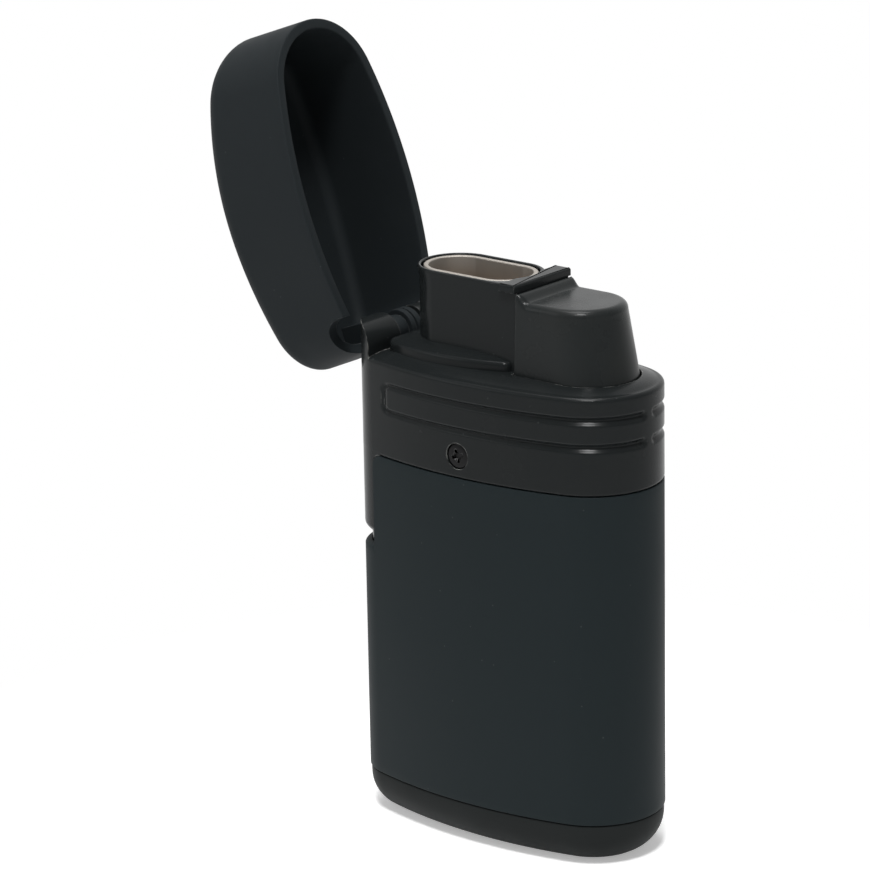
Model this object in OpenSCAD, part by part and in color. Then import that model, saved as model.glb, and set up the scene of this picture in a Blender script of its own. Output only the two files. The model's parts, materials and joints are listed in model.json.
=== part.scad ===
// Flip-top twin-jet pocket lighter.
// Millimetres, +Z up, origin at the middle of the base's underside.
// +X points to the rounded nose under the thumb button, -X to the hinge end.
// The lid is drawn open; lid_open is the angle between open and shut.

/* [Body] */
// Length of the body from hinge end to nose
body_len = 39.8; // [37.6:0.1:42]
// Thickness of the body at its belly
body_th = 20.4; // [19.4:0.1:22]
// Radius of the nose in plan
nose_r = 8.6; // [8:0.1:9.2]
// Place of the thickest section along the length
belly_x = -1.1; // [-2.5:0.1:0]
// Radius of the two corners at the hinge end
end_r = 6.2; // [5.6:0.1:6.6]

/* [Base cap] */
// Height of the base cap
base_h = 5.5; // [5:0.1:7]
// Radius of the base's lower edge
base_round = 4.8; // [3:0.1:5]
// Thickness of the base's floor
base_floor = 1.4; // [1:0.1:1.8]
// Wall of the base cap
base_wall = 1.3; // [1:0.1:1.5]
// How far the base cap stands back from the skin
base_inset = 0.15; // [0.05:0.05:0.3]
// Height of the lip that enters the skin
base_lip_h = 2; // [1:0.1:3]

/* [Skin] */
// Height of the skin's top edge above the tank's shell
seam_up = 8.2; // [7:0.1:9]
// Wall of the skin sleeve
skin_wall = 0.8; // [0.6:0.05:1]
// Depth of the slot at the hinge end, from the top edge
slot_depth = 11.7; // [8:0.1:14]
// Where the slot's edges lie along the length
slot_x = -14.2; // [-15.2:0.1:-13.2]
// Radius of the skin's upper corners beside the slot
slot_round = 1.5; // [0.5:0.1:2.5]
// Height of the open notch under the collar's tongue
notch_h = 1.7; // [1:0.1:2.5]

/* [Collar] */
// Height of the collar
collar_h = 11.9; // [11:0.1:14]
// Wall of the collar
collar_wall = 1.3; // [1.1:0.05:1.5]
// Thickness of the deck
deck_t = 1.4; // [1.2:0.1:1.8]
// Height of the ledge round the shroud's foot
ledge_h = 1.2; // [0.8:0.1:1.4]
// Width of that ledge
ledge_w = 1.1; // [0.6:0.1:1.3]
// Where the ledge ends towards the button
ledge_x = 3.9; // [3.4:0.1:4]
// Depth of the grip grooves
groove_d = 0.45; // [0.2:0.05:0.6]
// Width of the grip grooves
groove_w = 1.4; // [0.8:0.1:1.8]
// Upper groove below the deck
groove_1 = 2.75; // [2:0.05:3.2]
// Lower groove below the deck
groove_2 = 6.0; // [5.2:0.05:6.4]
// Plain web left between the grooves at the nose
groove_web = 2.3; // [1:0.1:4]
// Where the grooves end near the hinge
groove_x = -12.9; // [-13.3:0.1:-11]
// Place of the collar screws along the length
screw_x = -0.7; // [-1.7:0.1:0.3]
// Height of the collar screws above the skin's seam
screw_up = 2.75; // [2.4:0.05:3.2]
// Diameter of the screw heads
screw_head_d = 3.1; // [2.6:0.1:3.4]
// Diameter of the screw shanks
screw_d = 1.6; // [1.4:0.1:1.8]

/* [Lid] */
// Height of the lid at its middle
lid_h = 14.3; // [13.6:0.1:16]
// How much lower the crown is at both ends
lid_drop = 1.95; // [1.2:0.05:2.2]
// Wall of the lid
lid_wall = 1.2; // [1:0.05:1.4]
// How far the lid's sides lean in
lid_lean = 0.1; // [0:0.05:0.4]
// How far the lid's hinge end leans out behind the body at its top
lid_heel = 2.5; // [1:0.1:3]
// Radius of the crown's edge
lid_round = 2.65; // [2:0.05:3.2]
// Angle between lid open and lid shut
lid_open = 109.2; // [90:0.1:112]
// Gap between the shut lid and the deck
lid_gap = 0.25; // [0.15:0.05:0.35]

/* [Hinge] */
// Hinge axis in from the hinge end
hinge_in = 1; // [0.9:0.05:1.4]
// Hinge axis above the deck
hinge_up = 0.9; // [0.8:0.05:1.1]
// Radius of the collar's hinge lugs
lug_r = 2.4; // [2.2:0.05:2.6]
// Half width of the open well between the lugs
well_half = 3.6; // [3.2:0.1:4]
// Radius of the lid's knuckle
knuckle_r = 2.2; // [2:0.05:2.4]
// Length of the lid's knuckle
knuckle_len = 4.4; // [3.6:0.1:4.6]
// Diameter of the hinge pin
pin_d = 1.2; // [1:0.05:1.4]
// Wire of the torsion spring
torsion_wire = 0.5; // [0.4:0.05:0.6]
// Turns of the torsion spring
torsion_turns = 2.5; // [2:0.5:3]

/* [Burner] */
// Shroud's rear jet centre
jet_x1 = -8.5; // [-9.1:0.1:-8.1]
// Distance between the two jets
jet_pitch = 7.0; // [6:0.1:7.4]
// Radius of the shroud's round end
shroud_r = 4.9; // [4.7:0.05:5.2]
// Wall of the shroud round the nozzle
shroud_wall = 0.5; // [0.4:0.05:0.6]
// Height of the shroud above the deck
shroud_h = 11.0; // [10.6:0.1:11.4]
// Length of the guard ridge next to the button
ridge_len = 2.6; // [2:0.1:3.2]
// Half width of the guard ridge
ridge_half = 5.2; // [5:0.05:5.4]
// How far the ridge stands above the shroud's rim
ridge_up = 0.2; // [0:0.05:0.3]
// Wall of the steel nozzle
nozzle_wall = 0.6; // [0.4:0.05:0.8]
// How far the nozzle stands below the shroud's rim
nozzle_drop = 0.1; // [0:0.05:0.3]
// Radius of the jet tubes
jet_r = 1.9; // [1.6:0.05:2.1]
// Radius of the jet heads
jet_head_r = 2.6; // [2.3:0.05:2.8]

/* [Button] */
// Face between shroud and button
button_x = 4.35; // [4.2:0.05:4.7]
// Radius of the button's nose at its foot
button_r = 5.85; // [5.6:0.05:6]
// Radius of the button's nose at its top
button_top_r = 5.4; // [5:0.05:5.6]
// How far the nose leans back at the top
button_lean = 1.2; // [0.8:0.1:2]
// Height of the button's top above the deck
button_h = 9.3; // [8.8:0.1:9.8]
// Height of the ramp behind the button's top
ramp_h = 0.9; // [0.5:0.1:1.1]
// Radius of the button's upper edge
button_round = 0.9; // [0.5:0.1:1.2]
// Wall of the button
button_wall = 1.2; // [1:0.1:1.4]
// Travel of the button
button_travel = 3; // [2.4:0.1:3.2]

/* [Tank] */
// Height of the tank's shell
tank_h = 30.4; // [28:0.1:32]
// Wall of the tank
tank_wall = 1.2; // [1:0.1:1.5]
// Thickness of the tank's top plate
tank_top_t = 2; // [1.6:0.1:2.4]
// Place of the filling valve
fill_x = 6; // [5:0.1:7]
// Place of the flame adjuster
adjust_x = -6; // [-7:0.1:-5]
// Radius of the filling valve's body
fill_r = 2; // [1.8:0.05:2.2]
// Radius of the adjuster's head
adjust_r = 2.4; // [2.2:0.05:2.6]

/* [Valve and igniter] */
// Radius of the gas valve's body
valve_r = 2.6; // [2.4:0.05:2.8]
// Radius of the valve's stem
stem_r = 1.2; // [1:0.05:1.3]
// Lift of the valve's stem
stem_lift = 1.1; // [1:0.05:1.3]
// Distance from the lever's pivot to the valve
lever_short = 2.3; // [2.1:0.1:2.5]
// Distance from the lever's pivot to its pushed end
lever_long = 8; // [7.6:0.1:8.4]
// Diameter of the lever's pin
lever_pin_d = 1; // [0.8:0.05:1.2]
// Width of the igniter's case along the length
piezo_w = 6.4; // [6:0.1:6.8]
// Depth of the igniter's case
piezo_d = 5.6; // [5.2:0.1:6]
// Place of the igniter along the length
piezo_x = 10.3; // [9.9:0.1:10.7]

/* [Fits] */
// Gap between shells that nest
nest = 0.1; // [0.05:0.05:0.15]
// Radial clearance of pins and shafts
run = 0.05; // [0.03:0.01:0.1]
// Clearance round moving pieces
free = 0.3; // [0.2:0.05:0.35]
// Set-back of the rounds at their split lines
split = 0.02; // [0.01:0.01:0.04]
// Set-back of the hinge lugs and the tongue from the collar's side
flush = 0.05; // [0.05:0.01:0.1]

/* [Hidden] */
$fn = 64;
eps = 0.02;
far = 100;

// Plan outline: a nose arc, two side arcs, two corner arcs and a flat end, all tangent.
half_len = body_len / 2;
nose_x = half_len - nose_r;
side_dx = nose_x - belly_x;
side_r = (side_dx * side_dx + body_th * body_th / 4 - nose_r * nose_r) / (body_th - 2 * nose_r);
side_y = side_r - body_th / 2;
end_x = end_r - half_len;
end_y = sqrt(pow(side_r - end_r, 2) - pow(end_x - belly_x, 2)) - side_y;
nose_a = atan2(side_y, side_dx);
end_a = atan2(end_y + side_y, end_x - belly_x);

// Heights of the main faces.
tank_z = base_h + base_lip_h + nest;
tank_top_z = tank_z + tank_h;
seam_z = tank_top_z + seam_up;
skin_h = seam_z - base_h;
deck_z = seam_z + collar_h;
hinge_x = hinge_in - half_len;
hinge_z = deck_z + hinge_up;
well_r = knuckle_r + 2 * free;
screw_z = seam_z + screw_up;
screw_sunk = 0.15;
screw_head_t = 0.45;
screw_len = 4;
recess_w = 0.36;
recess_len = 0.55;
jet_x2 = jet_x1 + jet_pitch;
jet_mid = (jet_x1 + jet_x2) / 2;
bore_r = shroud_r - shroud_wall;
nozzle_r = bore_r - free;
jet_plate_z = deck_z - deck_t - 2;
jet_plate_t = 2.2;
jet_head_z = deck_z + 1.5;
jet_head_h = 3;
manifold_t = 3;
manifold_z = jet_plate_z - 1.4 - manifold_t;
tank_inset = skin_wall + 1.5 * nest;
frame_z = tank_top_z + tank_top_t;
frame_t = 1.2;
valve_top_z = frame_z + 4;
stem_flange_z = valve_top_z + 2.6;
stem_flange_t = 0.7;
stem_tip_z = stem_flange_z + 3.6;
pivot_x = jet_mid + lever_short;
pivot_z = stem_flange_z - 0.9;
piezo_top_z = frame_z + 12;
plunger_top_z = deck_z + button_h - button_wall;

// Plan outline, set back by t: two side arcs, a round at each corner and at the nose, and a flat end.
// The rounds stand back by a fine split line, so that they meet the side arcs at a clear edge.
function ray(c, a) = c + far * [cos(a), sin(a)];
module outline(t) {
    nose = [nose_x, 0];
    for (s = [-1, 1]) {
        corner = [end_x, s * end_y];
        intersection() {
            translate([belly_x, -s * side_y]) circle(r = side_r - t, $fn = 240);
            polygon([nose, ray(nose, s * nose_a), ray(corner, s * end_a), corner, [belly_x, -s]]);
        }
        translate(corner) circle(r = end_r - t - split);
    }
    translate(nose) circle(r = nose_r - t - split);
    polygon([nose, [end_x, end_y], [t - half_len, end_y], [t - half_len, -end_y], [end_x, -end_y]]);
}

// Prism of the outline set back by t.
module slab(t, z, h) {
    translate([0, 0, z]) linear_extrude(h) outline(t);
}

// Wall between two set-back outlines.
module wall(t0, t1, z, h) {
    translate([0, 0, z]) linear_extrude(h) difference() {
        outline(t0);
        outline(t1);
    }
}

// Points round the outline, set back by t, with a close pair at each end of the grip grooves.
function arc_pts(c, r, angles) = [for (a = angles) [c[0] + r * cos(a), c[1] + r * sin(a)]];
function spread(a0, a1, n) = [for (i = [0 : n - 1]) a0 + (a1 - a0) * i / n];
web_a = asin(groove_web / 2 / nose_r);
stop_a = acos((groove_x - belly_x) / side_r);
lip_a = atan(groove_w / 2 / side_r);
function half_ring(t) = concat(
    arc_pts([nose_x, 0], nose_r - t, concat([0, web_a - 1], spread(web_a, nose_a, 8))),
    arc_pts([belly_x, -side_y], side_r - t,
        concat(spread(nose_a, stop_a - lip_a, 6), [stop_a - lip_a, stop_a, stop_a + lip_a])),
    arc_pts([end_x, end_y], end_r - t, spread(end_a, 180, 6)),
    [[t - half_len, end_y]]);
function ring(t) = let (h = half_ring(t), n = len(h))
    concat(h, [for (i = [n - 1 : -1 : 1]) [h[i][0], -h[i][1]]]);

// Solid through a stack of rings: each ring has the same number of points, front and back alike.
module loft(rings) {
    m = len(rings[0]);
    rows = len(rings);
    walls = [for (j = [0 : rows - 2]) for (i = [0 : m - 1])
        let (i1 = (i + 1) % m)
        each [[j * m + i, (j + 1) * m + i, (j + 1) * m + i1], [j * m + i, (j + 1) * m + i1, j * m + i1]]];
    top = (rows - 1) * m;
    half = floor(m / 2);
    caps = [for (i = [0 : half - 1])
        let (a = top + i, b = top + i + 1, c = top + (m - i - 1) % m, d = top + (m - i) % m)
        each concat(c == b ? [] : [[a, c, b]], d == a ? [] : [[a, d, c]])];
    polyhedron([for (r = rings) each r], concat(walls, caps, [[for (i = [0 : m - 1]) i]]));
}
function flat_ring(t, z) = [for (q = ring(t)) [q[0], q[1], z]];

// Slot with round ends between the two jet centres.
module stadium(r) {
    for (x = [jet_x1, jet_x2]) translate([x, 0]) circle(r = r);
    translate([jet_x1, -r]) square([jet_pitch, 2 * r]);
}
module stadium_rod(r, z, h) {
    translate([0, 0, z]) linear_extrude(h) stadium(r);
}

module rod(r, z0, z1) {
    translate([0, 0, z0]) cylinder(r = r, h = z1 - z0);
}

// Closed tube swept along a list of points.
function unit(v) = v / norm(v);
function along(p, i) = unit(p[min(i + 1, len(p) - 1)] - p[max(i - 1, 0)]);
module wire(points, r, ref, sides = 8) {
    n = len(points);
    rings = [for (i = [0 : n - 1])
        let (t = along(points, i), a = unit(cross(t, ref)), b = cross(t, a))
        for (k = [0 : sides - 1]) points[i] + r * (cos(360 * k / sides) * a + sin(360 * k / sides) * b)];
    sides_f = [for (i = [0 : n - 2]) for (k = [0 : sides - 1])
        let (k1 = (k + 1) % sides, a = i * sides, b = a + sides)
        each [[a + k, a + k1, b + k1], [a + k, b + k1, b + k]]];
    polyhedron(rings, concat(sides_f,
        [[for (k = [sides - 1 : -1 : 0]) k]],
        [[for (k = [0 : sides - 1]) (n - 1) * sides + k]]));
}

// Coil spring about Z with flat closed ends left plain.
module coil(mean_r, wire_d, z0, z1, turns, steps = 14) {
    n = turns * steps;
    rise = z1 - z0 - wire_d;
    wire([for (i = [0 : n]) [mean_r * cos(360 * i / steps), mean_r * sin(360 * i / steps),
        z0 + wire_d / 2 + rise * i / n]], wire_d / 2, [0, 0, 1]);
}

// Lid, drawn shut and then swung open about the hinge.
function crown(x, h) = h - lid_drop * pow(x / half_len, 2);
function heel(x) = lid_heel * pow(max(0, -x / half_len), 2);
lid_steps = 5;
function lid_profile(r) = concat(
    [[0, 0, 0]], [[lid_lean / 2, 0.5, 0]],
    [for (i = [0 : lid_steps]) let (a = 90 * i / lid_steps) [lid_lean + r * (1 - cos(a)), 1, sin(a)]]);
function lid_ring(p, extra) = let (h = lid_h - extra, r = lid_round - extra)
    [for (q = ring(p[0] + extra))
        let (z = p[1] * (crown(q[0], h) - r) + p[2] * r) [q[0] - heel(q[0]) * z / h, q[1], z]];
module lid_form(extra) {
    loft([for (p = lid_profile(lid_round - extra)) lid_ring(p, extra)]);
}
module swing_open() {
    translate([hinge_x, 0, hinge_z]) rotate([0, -lid_open, 0]) translate([-hinge_x, 0, -hinge_z]) children();
}
module lug_shape(r, y_front, y_back) {
    for (side = [[-1, y_front], [1, y_back]]) {
        s = side[0];
        y0 = side[1];
        translate([hinge_x, s * y0, hinge_z]) rotate([s * -90, 0, 0]) cylinder(r = r, h = body_th);
        translate([hinge_x - far / 2 + r, s * (y0 + body_th / 2), hinge_z - r / 2 - hinge_up / 2])
            cube([far, body_th, r + hinge_up], center = true);
    }
}
lid_z0 = deck_z + lid_gap;
knuckle_y = well_half - free - knuckle_len;
module lid_shell() color("#232425") swing_open() difference() {
    union() {
        difference() {
            translate([0, 0, lid_z0]) lid_form(0);
            translate([0, 0, lid_z0 - eps]) lid_form(lid_wall);
        }
        translate([hinge_x, knuckle_y, hinge_z]) rotate([-90, 0, 0])
            cylinder(r = knuckle_r, h = knuckle_len);
        intersection() {
            translate([0, 0, lid_z0]) lid_form(lid_wall / 2);
            translate([hinge_x + knuckle_r - far, knuckle_y, hinge_z]) cube([far, knuckle_len, lid_h / 2]);
        }
    }
    intersection() {
        lug_shape(lug_r + free, -knuckle_y, well_half - free);
        translate([-far, -far / 2, deck_z - far / 2]) cube([far + hinge_x + lug_r + free, far, far]);
    }
    translate([hinge_x, -far / 2, hinge_z]) rotate([-90, 0, 0]) cylinder(r = pin_d / 2 + run, h = far);
}

hinge_y = end_y + sqrt(pow(end_r, 2) - pow(end_x - hinge_x, 2));
pin_reach = hinge_y - 0.7;
module hinge_pin() color("#b9bcc0")
    translate([hinge_x, -pin_reach, hinge_z]) rotate([-90, 0, 0]) cylinder(d = pin_d, h = 2 * pin_reach);

module hinge_spring() color("#c7cacd") {
    length = well_half + knuckle_y - 2 * free;
    translate([hinge_x, knuckle_y - free, hinge_z]) rotate([90, 0, 0])
        coil(pin_d / 2 + run + torsion_wire, torsion_wire, 0, length, torsion_turns);
}

// Collar: wall, deck, ledge, hinge lugs, tongue and the skirt inside the skin.
// A groove row is cut in along its whole run, a band row only where the two grooves join.
function in_groove(q) = abs(q[1]) >= groove_web / 2 - eps && q[0] >= groove_x - eps;
function at_stop(q) = abs(q[0] - groove_x) < eps;
function groove_ring(z) = let (o = ring(0), i = ring(groove_d))
    [for (k = [0 : len(o) - 1]) let (q = in_groove(o[k]) ? i[k] : o[k]) [q[0], q[1], z]];
function band_ring(z) = let (o = ring(0), i = ring(groove_d))
    [for (k = [0 : len(o) - 1]) let (q = at_stop(o[k]) ? i[k] : o[k]) [q[0], q[1], z]];
collar_edge = 0.4;
skirt_t = 0.9;
skirt_in = 3;
skirt_up = 1;
tongue_z = seam_z - slot_depth + notch_h;
hinge_block = [5, 2 * well_half + 2, 4];
collar_rings = [
    flat_ring(collar_edge, seam_z + nest), flat_ring(0, seam_z + nest + collar_edge),
    flat_ring(0, deck_z - groove_2 - groove_w / 2), groove_ring(deck_z - groove_2),
    band_ring(deck_z - groove_2 + groove_w / 2), band_ring(deck_z - groove_1 - groove_w / 2),
    groove_ring(deck_z - groove_1), flat_ring(0, deck_z - groove_1 + groove_w / 2),
    flat_ring(0, deck_z - collar_edge), flat_ring(collar_edge, deck_z)
];
module screw_axis(s) {
    y = sqrt(pow(side_r, 2) - pow(screw_x - belly_x, 2)) - side_y;
    translate([screw_x, s * y, screw_z]) rotate([s * 90, 0, 0]) children();
}
module button_plan(r, x, grow = 0) {
    intersection() {
        translate([x, 0]) circle(r = r + grow);
        translate([button_x - grow, -far / 2]) square(far);
    }
    translate([button_x - grow, -r - grow]) square([x - button_x + grow, 2 * (r + grow)]);
}
module shroud_plan(grow = 0) {
    stadium(shroud_r + grow);
    translate([jet_x2, -shroud_r - grow]) square([button_x - free - jet_x2 + grow, shroud_r + grow]);
    ridge_plan();
}
module ridge_plan() {
    translate([button_x - free - ridge_len, -ridge_half]) square([ridge_len, 2 * ridge_half]);
}
module ledge_plan() {
    end = ledge_x - ledge_w / 2;
    reach = shroud_r + ledge_w;
    translate([jet_x1, 0]) circle(r = reach);
    translate([jet_x1, -reach]) square([end - jet_x1, 2 * reach]);
    for (s = [-1, 1]) translate([end, s * (shroud_r + ledge_w / 2)]) circle(r = ledge_w / 2);
}
module head_collar() color("#2b2b2b") difference() {
    union() {
        difference() {
            loft(collar_rings);
            linear_extrude(deck_z - deck_t) polygon(ring(collar_wall));
        }
        translate([0, 0, deck_z - eps]) linear_extrude(ledge_h + eps) difference() {
            ledge_plan();
            shroud_plan(nest);
        }
        wall(skin_wall + nest, skin_wall + nest + skirt_t, seam_z - skirt_in, skirt_in + skirt_up);
        intersection() {
            wall(flush, skin_wall + 1.5 * nest, tongue_z, seam_z + nest + collar_edge / 2 - tongue_z);
            translate([-far + slot_x - nest, -far / 2, 0]) cube([far, far, far]);
        }
        intersection() {
            lug_shape(lug_r, well_half, well_half);
            slab(flush, 0, far);
        }
        intersection() {
            translate([-half_len, -hinge_block[1] / 2, deck_z - hinge_block[2]]) cube(hinge_block);
            slab(collar_wall / 2, 0, far);
        }
    }
    translate([hinge_x, -well_half, hinge_z]) rotate([-90, 0, 0]) cylinder(r = well_r, h = 2 * well_half);
    translate([hinge_x, -pin_reach, hinge_z]) rotate([-90, 0, 0]) cylinder(d = pin_d, h = far);
    stadium_rod(bore_r + nest, deck_z - far / 2, far);
    translate([0, 0, deck_z - far / 2]) linear_extrude(far) button_plan(button_r, nose_x, free);
    for (s = [-1, 1]) screw_axis(s) {
        translate([0, 0, -1]) cylinder(d = screw_head_d + 2 * nest, h = 1 + screw_sunk + screw_head_t);
        cylinder(d = screw_d + 2 * nest, h = screw_len);
    }
}

module collar_screws() color("#1c1c1d") for (s = [-1, 1]) screw_axis(s) difference() {
    union() {
        translate([0, 0, screw_sunk]) cylinder(d = screw_head_d, h = screw_head_t);
        translate([0, 0, screw_sunk + eps]) cylinder(d = screw_d, h = screw_len - screw_sunk);
    }
    for (a = [0, 90]) rotate([0, 0, a]) translate([0, 0, screw_sunk])
        cube([recess_w, recess_len * screw_head_d, 1.5 * screw_head_t], center = true);
}

module burner_shroud() color("#2a2a2b") difference() {
    union() {
        translate([0, 0, deck_z]) linear_extrude(shroud_h) shroud_plan();
        translate([0, 0, deck_z]) linear_extrude(shroud_h + ridge_up) ridge_plan();
    }
    stadium_rod(bore_r, deck_z - 1, far);
}

module nozzle_sleeve() color("#a8a6a2") difference() {
    foot_z = jet_plate_z + jet_plate_t;
    stadium_rod(nozzle_r, foot_z, deck_z + shroud_h - nozzle_drop - foot_z);
    stadium_rod(nozzle_r - nozzle_wall, 0, far);
}

module jet_block() color("#8d7a4b") difference() {
    stadium_rod(nozzle_r, jet_plate_z, jet_plate_t);
    for (x = [jet_x1, jet_x2]) translate([x, 0, 0]) rod(jet_r + run, 0, far);
    translate([jet_mid, 0, 0]) rod(insulator_r + run, 0, far);
}

jet_wall = 0.8;
screen_lip = 0.1;
screen_up = 1;
screen_t = 0.6;
screen_hole_r = 0.3;
screen_hole_ring = 1.1;
module jet_tubes() color("#b08d4a") for (x = [jet_x1, jet_x2]) translate([x, 0, 0]) difference() {
    union() {
        rod(jet_r, manifold_z + manifold_t, jet_head_z + eps);
        rod(jet_head_r, jet_head_z, jet_head_z + jet_head_h);
    }
    rod(jet_r - jet_wall, 0, far);
    rod(jet_r - screen_lip, jet_head_z + screen_up, far);
}

module jet_screens() color("#77706a") for (x = [jet_x1, jet_x2]) translate([x, 0, 0]) difference() {
    rod(jet_r - screen_lip - run, jet_head_z + screen_up, jet_head_z + screen_up + screen_t);
    for (a = [0 : 60 : 300]) rotate([0, 0, a]) translate([screen_hole_ring, 0, 0])
        rod(screen_hole_r, 0, far);
    rod(screen_hole_r, 0, far);
}

// Manifold: a bar with a bore under each jet, a lane between them and a relief under the electrode.
manifold_r = 2.4;
manifold_floor = 1;
jet_bore_r = 0.8;
lane_r = 0.5;
lane_up = 1.6;
relief = [1.8, 1.8, 1];
gas_tube_r = 1.1;
gas_tube_in = 2;
module gas_manifold() color("#a9843f") difference() {
    translate([0, 0, manifold_z]) linear_extrude(manifold_t) stadium(manifold_r);
    for (x = [jet_x1, jet_x2]) translate([x, 0, 0]) rod(jet_bore_r, manifold_z + manifold_floor, far);
    translate([jet_mid, 0, 0]) rod(gas_tube_r, 0, manifold_z + gas_tube_in);
    translate([jet_mid, 0, manifold_z + manifold_t]) cube(relief, center = true);
    translate([jet_x1, 0, manifold_z + lane_up]) rotate([0, 90, 0]) cylinder(r = lane_r, h = jet_pitch);
}

module gas_tube() color("#d8d4c4") translate([jet_mid, 0, 0]) difference() {
    rod(gas_tube_r, stem_flange_z + stem_flange_t + stem_lift + 2 * free, manifold_z + gas_tube_in);
    rod(stem_tip_r + 2 * run, 0, far);
}

electrode_r = 0.3;
electrode_up = 2;
insulator_up = 0.4;
module electrode() color("#c0b9ae") translate([jet_mid, 0, 0])
    rod(electrode_r, manifold_z + manifold_t, jet_head_z + jet_head_h + electrode_up);

module electrode_insulator() color("#e9e4d8") translate([jet_mid, 0, 0]) difference() {
    rod(insulator_r, manifold_z + manifold_t, jet_head_z + jet_head_h + insulator_up);
    rod(electrode_r, 0, far);
}

insulator_r = 0.85;
lead_r = 0.4;
lead_y = 4.3;
module ignition_lead() color("#8f1f1c") {
    z0 = manifold_z + manifold_t + 0.5;
    z1 = piezo_top_z - 5.5;
    x1 = piezo_x - piezo_w / 2;
    wire([
        [jet_mid, insulator_r + eps, z0], [jet_mid, lead_y / 2, z0], [jet_mid + 0.5, lead_y * 0.7, z0],
        [jet_mid + 2, lead_y, z0 - 1], [jet_mid + 5, lead_y, z0 - 3], [x1 - 2, lead_y, z1],
        [x1 - 1, lead_y / 2, z1], [x1 - 0.5, lead_y * 0.4, z1], [x1 - eps, lead_y * 0.4, z1]
    ], lead_r, [0, 0, 1]);
}

// Button: a drafted hollow cap with a ramp against the shroud and a skirt under the deck.
skirt_z = deck_z - deck_t - button_travel - 2;
flange_t = 1.2;
prong_z = pivot_z + 0.8;
prong_half = 1;
ramp_half = ridge_half - 0.5;
ramp_len = 1.6;
module button_slice(r, x, z) {
    translate([0, 0, z]) linear_extrude(eps) button_plan(r, x, 0);
}
module button_form(inset, top) {
    hull() {
        button_slice(button_r - inset, nose_x, deck_z - eps);
        for (a = [0 : 22.5 : 90])
            button_slice(button_top_r - inset - button_round * (1 - cos(a)), nose_x - button_lean,
                top - button_round * (1 - sin(a)) - eps);
    }
}
module thumb_button() color("#242425") {
    top = deck_z + button_h;
    difference() {
        union() {
            button_form(0, top);
            translate([0, 0, skirt_z]) linear_extrude(deck_z - skirt_z) button_plan(button_r, nose_x);
            translate([0, 0, deck_z - deck_t - nest - flange_t]) linear_extrude(flange_t) intersection() {
                button_plan(button_r + 2 * free, nose_x);
                translate([button_x, -far / 2]) square(far);
            }
            translate([button_x, ramp_half, 0]) rotate([90, 0, 0]) linear_extrude(2 * ramp_half)
                polygon([
                    [0, top - 2], [0, top + ramp_h], [0.3, top + ramp_h],
                    [ramp_len, top - eps], [ramp_len, top - 2]
                ]);
        }
        intersection() {
            button_form(button_wall, top - button_wall);
            translate([button_x + button_wall, -far / 2, 0]) cube(far);
        }
        translate([0, 0, skirt_z - eps]) linear_extrude(deck_z - skirt_z + 2 * eps) intersection() {
            button_plan(button_r - button_wall, nose_x);
            translate([button_x + button_wall, -far / 2]) square(far);
        }
    }
    translate([button_x, -prong_half, prong_z]) cube([button_wall, 2 * prong_half, skirt_z - prong_z + eps]);
}

piezo_wall = 0.8;
piezo_floor_z = frame_z + frame_t + 2;
plunger_z = piezo_top_z - 3.5;
module centred_box(w, d, z0, z1) {
    translate([-w / 2, -d / 2, z0]) cube([w, d, z1 - z0]);
}
module piezo_case() color("#34363a") translate([piezo_x, 0, 0]) difference() {
    centred_box(piezo_w, piezo_d, frame_z + frame_t, piezo_top_z);
    centred_box(piezo_w - 2 * piezo_wall, piezo_d - 2 * piezo_wall, piezo_floor_z, far);
}

module piezo_plunger() color("#e4e1d6") translate([piezo_x, 0, 0]) {
    w = piezo_w - 2 * piezo_wall - 2 * free;
    d = piezo_d - 2 * piezo_wall - 2 * free;
    centred_box(w, d, plunger_z, piezo_top_z + 3);
    centred_box(0.7 * w, 0.7 * d, piezo_top_z, plunger_top_z);
}

module piezo_spring() color("#c7cacd") translate([piezo_x, 0, 0])
    coil(1.1, 0.4, piezo_floor_z, plunger_z, 3, 12);

// Frame on the tank's top: plate, posts under the burner, ears for the lever's pin, bosses for the screws.
ear_t = 1.2;
fork_half = 1.9;
hub_r = 0.85;
fork_t = 0.4;
lever_t = 0.9;
lever_half = 1.2;
lever_sink = 0.2;
fork_len = lever_short + 0.6;
fork_y = fork_half - fork_t / 2;
frame_inset = 2.3;
post_r = 0.9;
post_x = 2.4;
post_y = 2.6;
boss_y = 7;
boss = [4, 3.4, 2];
module mech_frame() color("#3a3b3d") difference() {
    union() {
        slab(frame_inset, frame_z, frame_t);
        for (x = [jet_x1 - post_x, jet_x2 + post_x], s = [-1, 1]) translate([x, s * post_y, 0])
            rod(post_r, frame_z, jet_plate_z);
        for (s = [-1, 1]) {
            translate([pivot_x, s * (fork_half + free + ear_t / 2), 0])
                centred_box(2 * ear_t, ear_t, frame_z, pivot_z + lever_pin_d);
            intersection() {
                translate([screw_x, s * boss_y, 0])
                    centred_box(boss[0], boss[1], frame_z, screw_z + boss[2]);
                slab(skin_wall + skirt_t + 3 * nest, 0, far);
            }
        }
    }
    translate([jet_mid, 0, 0]) rod(valve_r + nest, 0, valve_top_z + nest);
    translate([jet_mid, 0, frame_z + frame_t]) rod(valve_r + 2 * seal_r + nest, 0, 3 * seal_r);
    translate([pivot_x, -far / 2, pivot_z]) rotate([-90, 0, 0]) cylinder(d = lever_pin_d, h = far);
    for (s = [-1, 1]) screw_axis(s) cylinder(d = screw_d, h = screw_len + 1);
}

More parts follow.
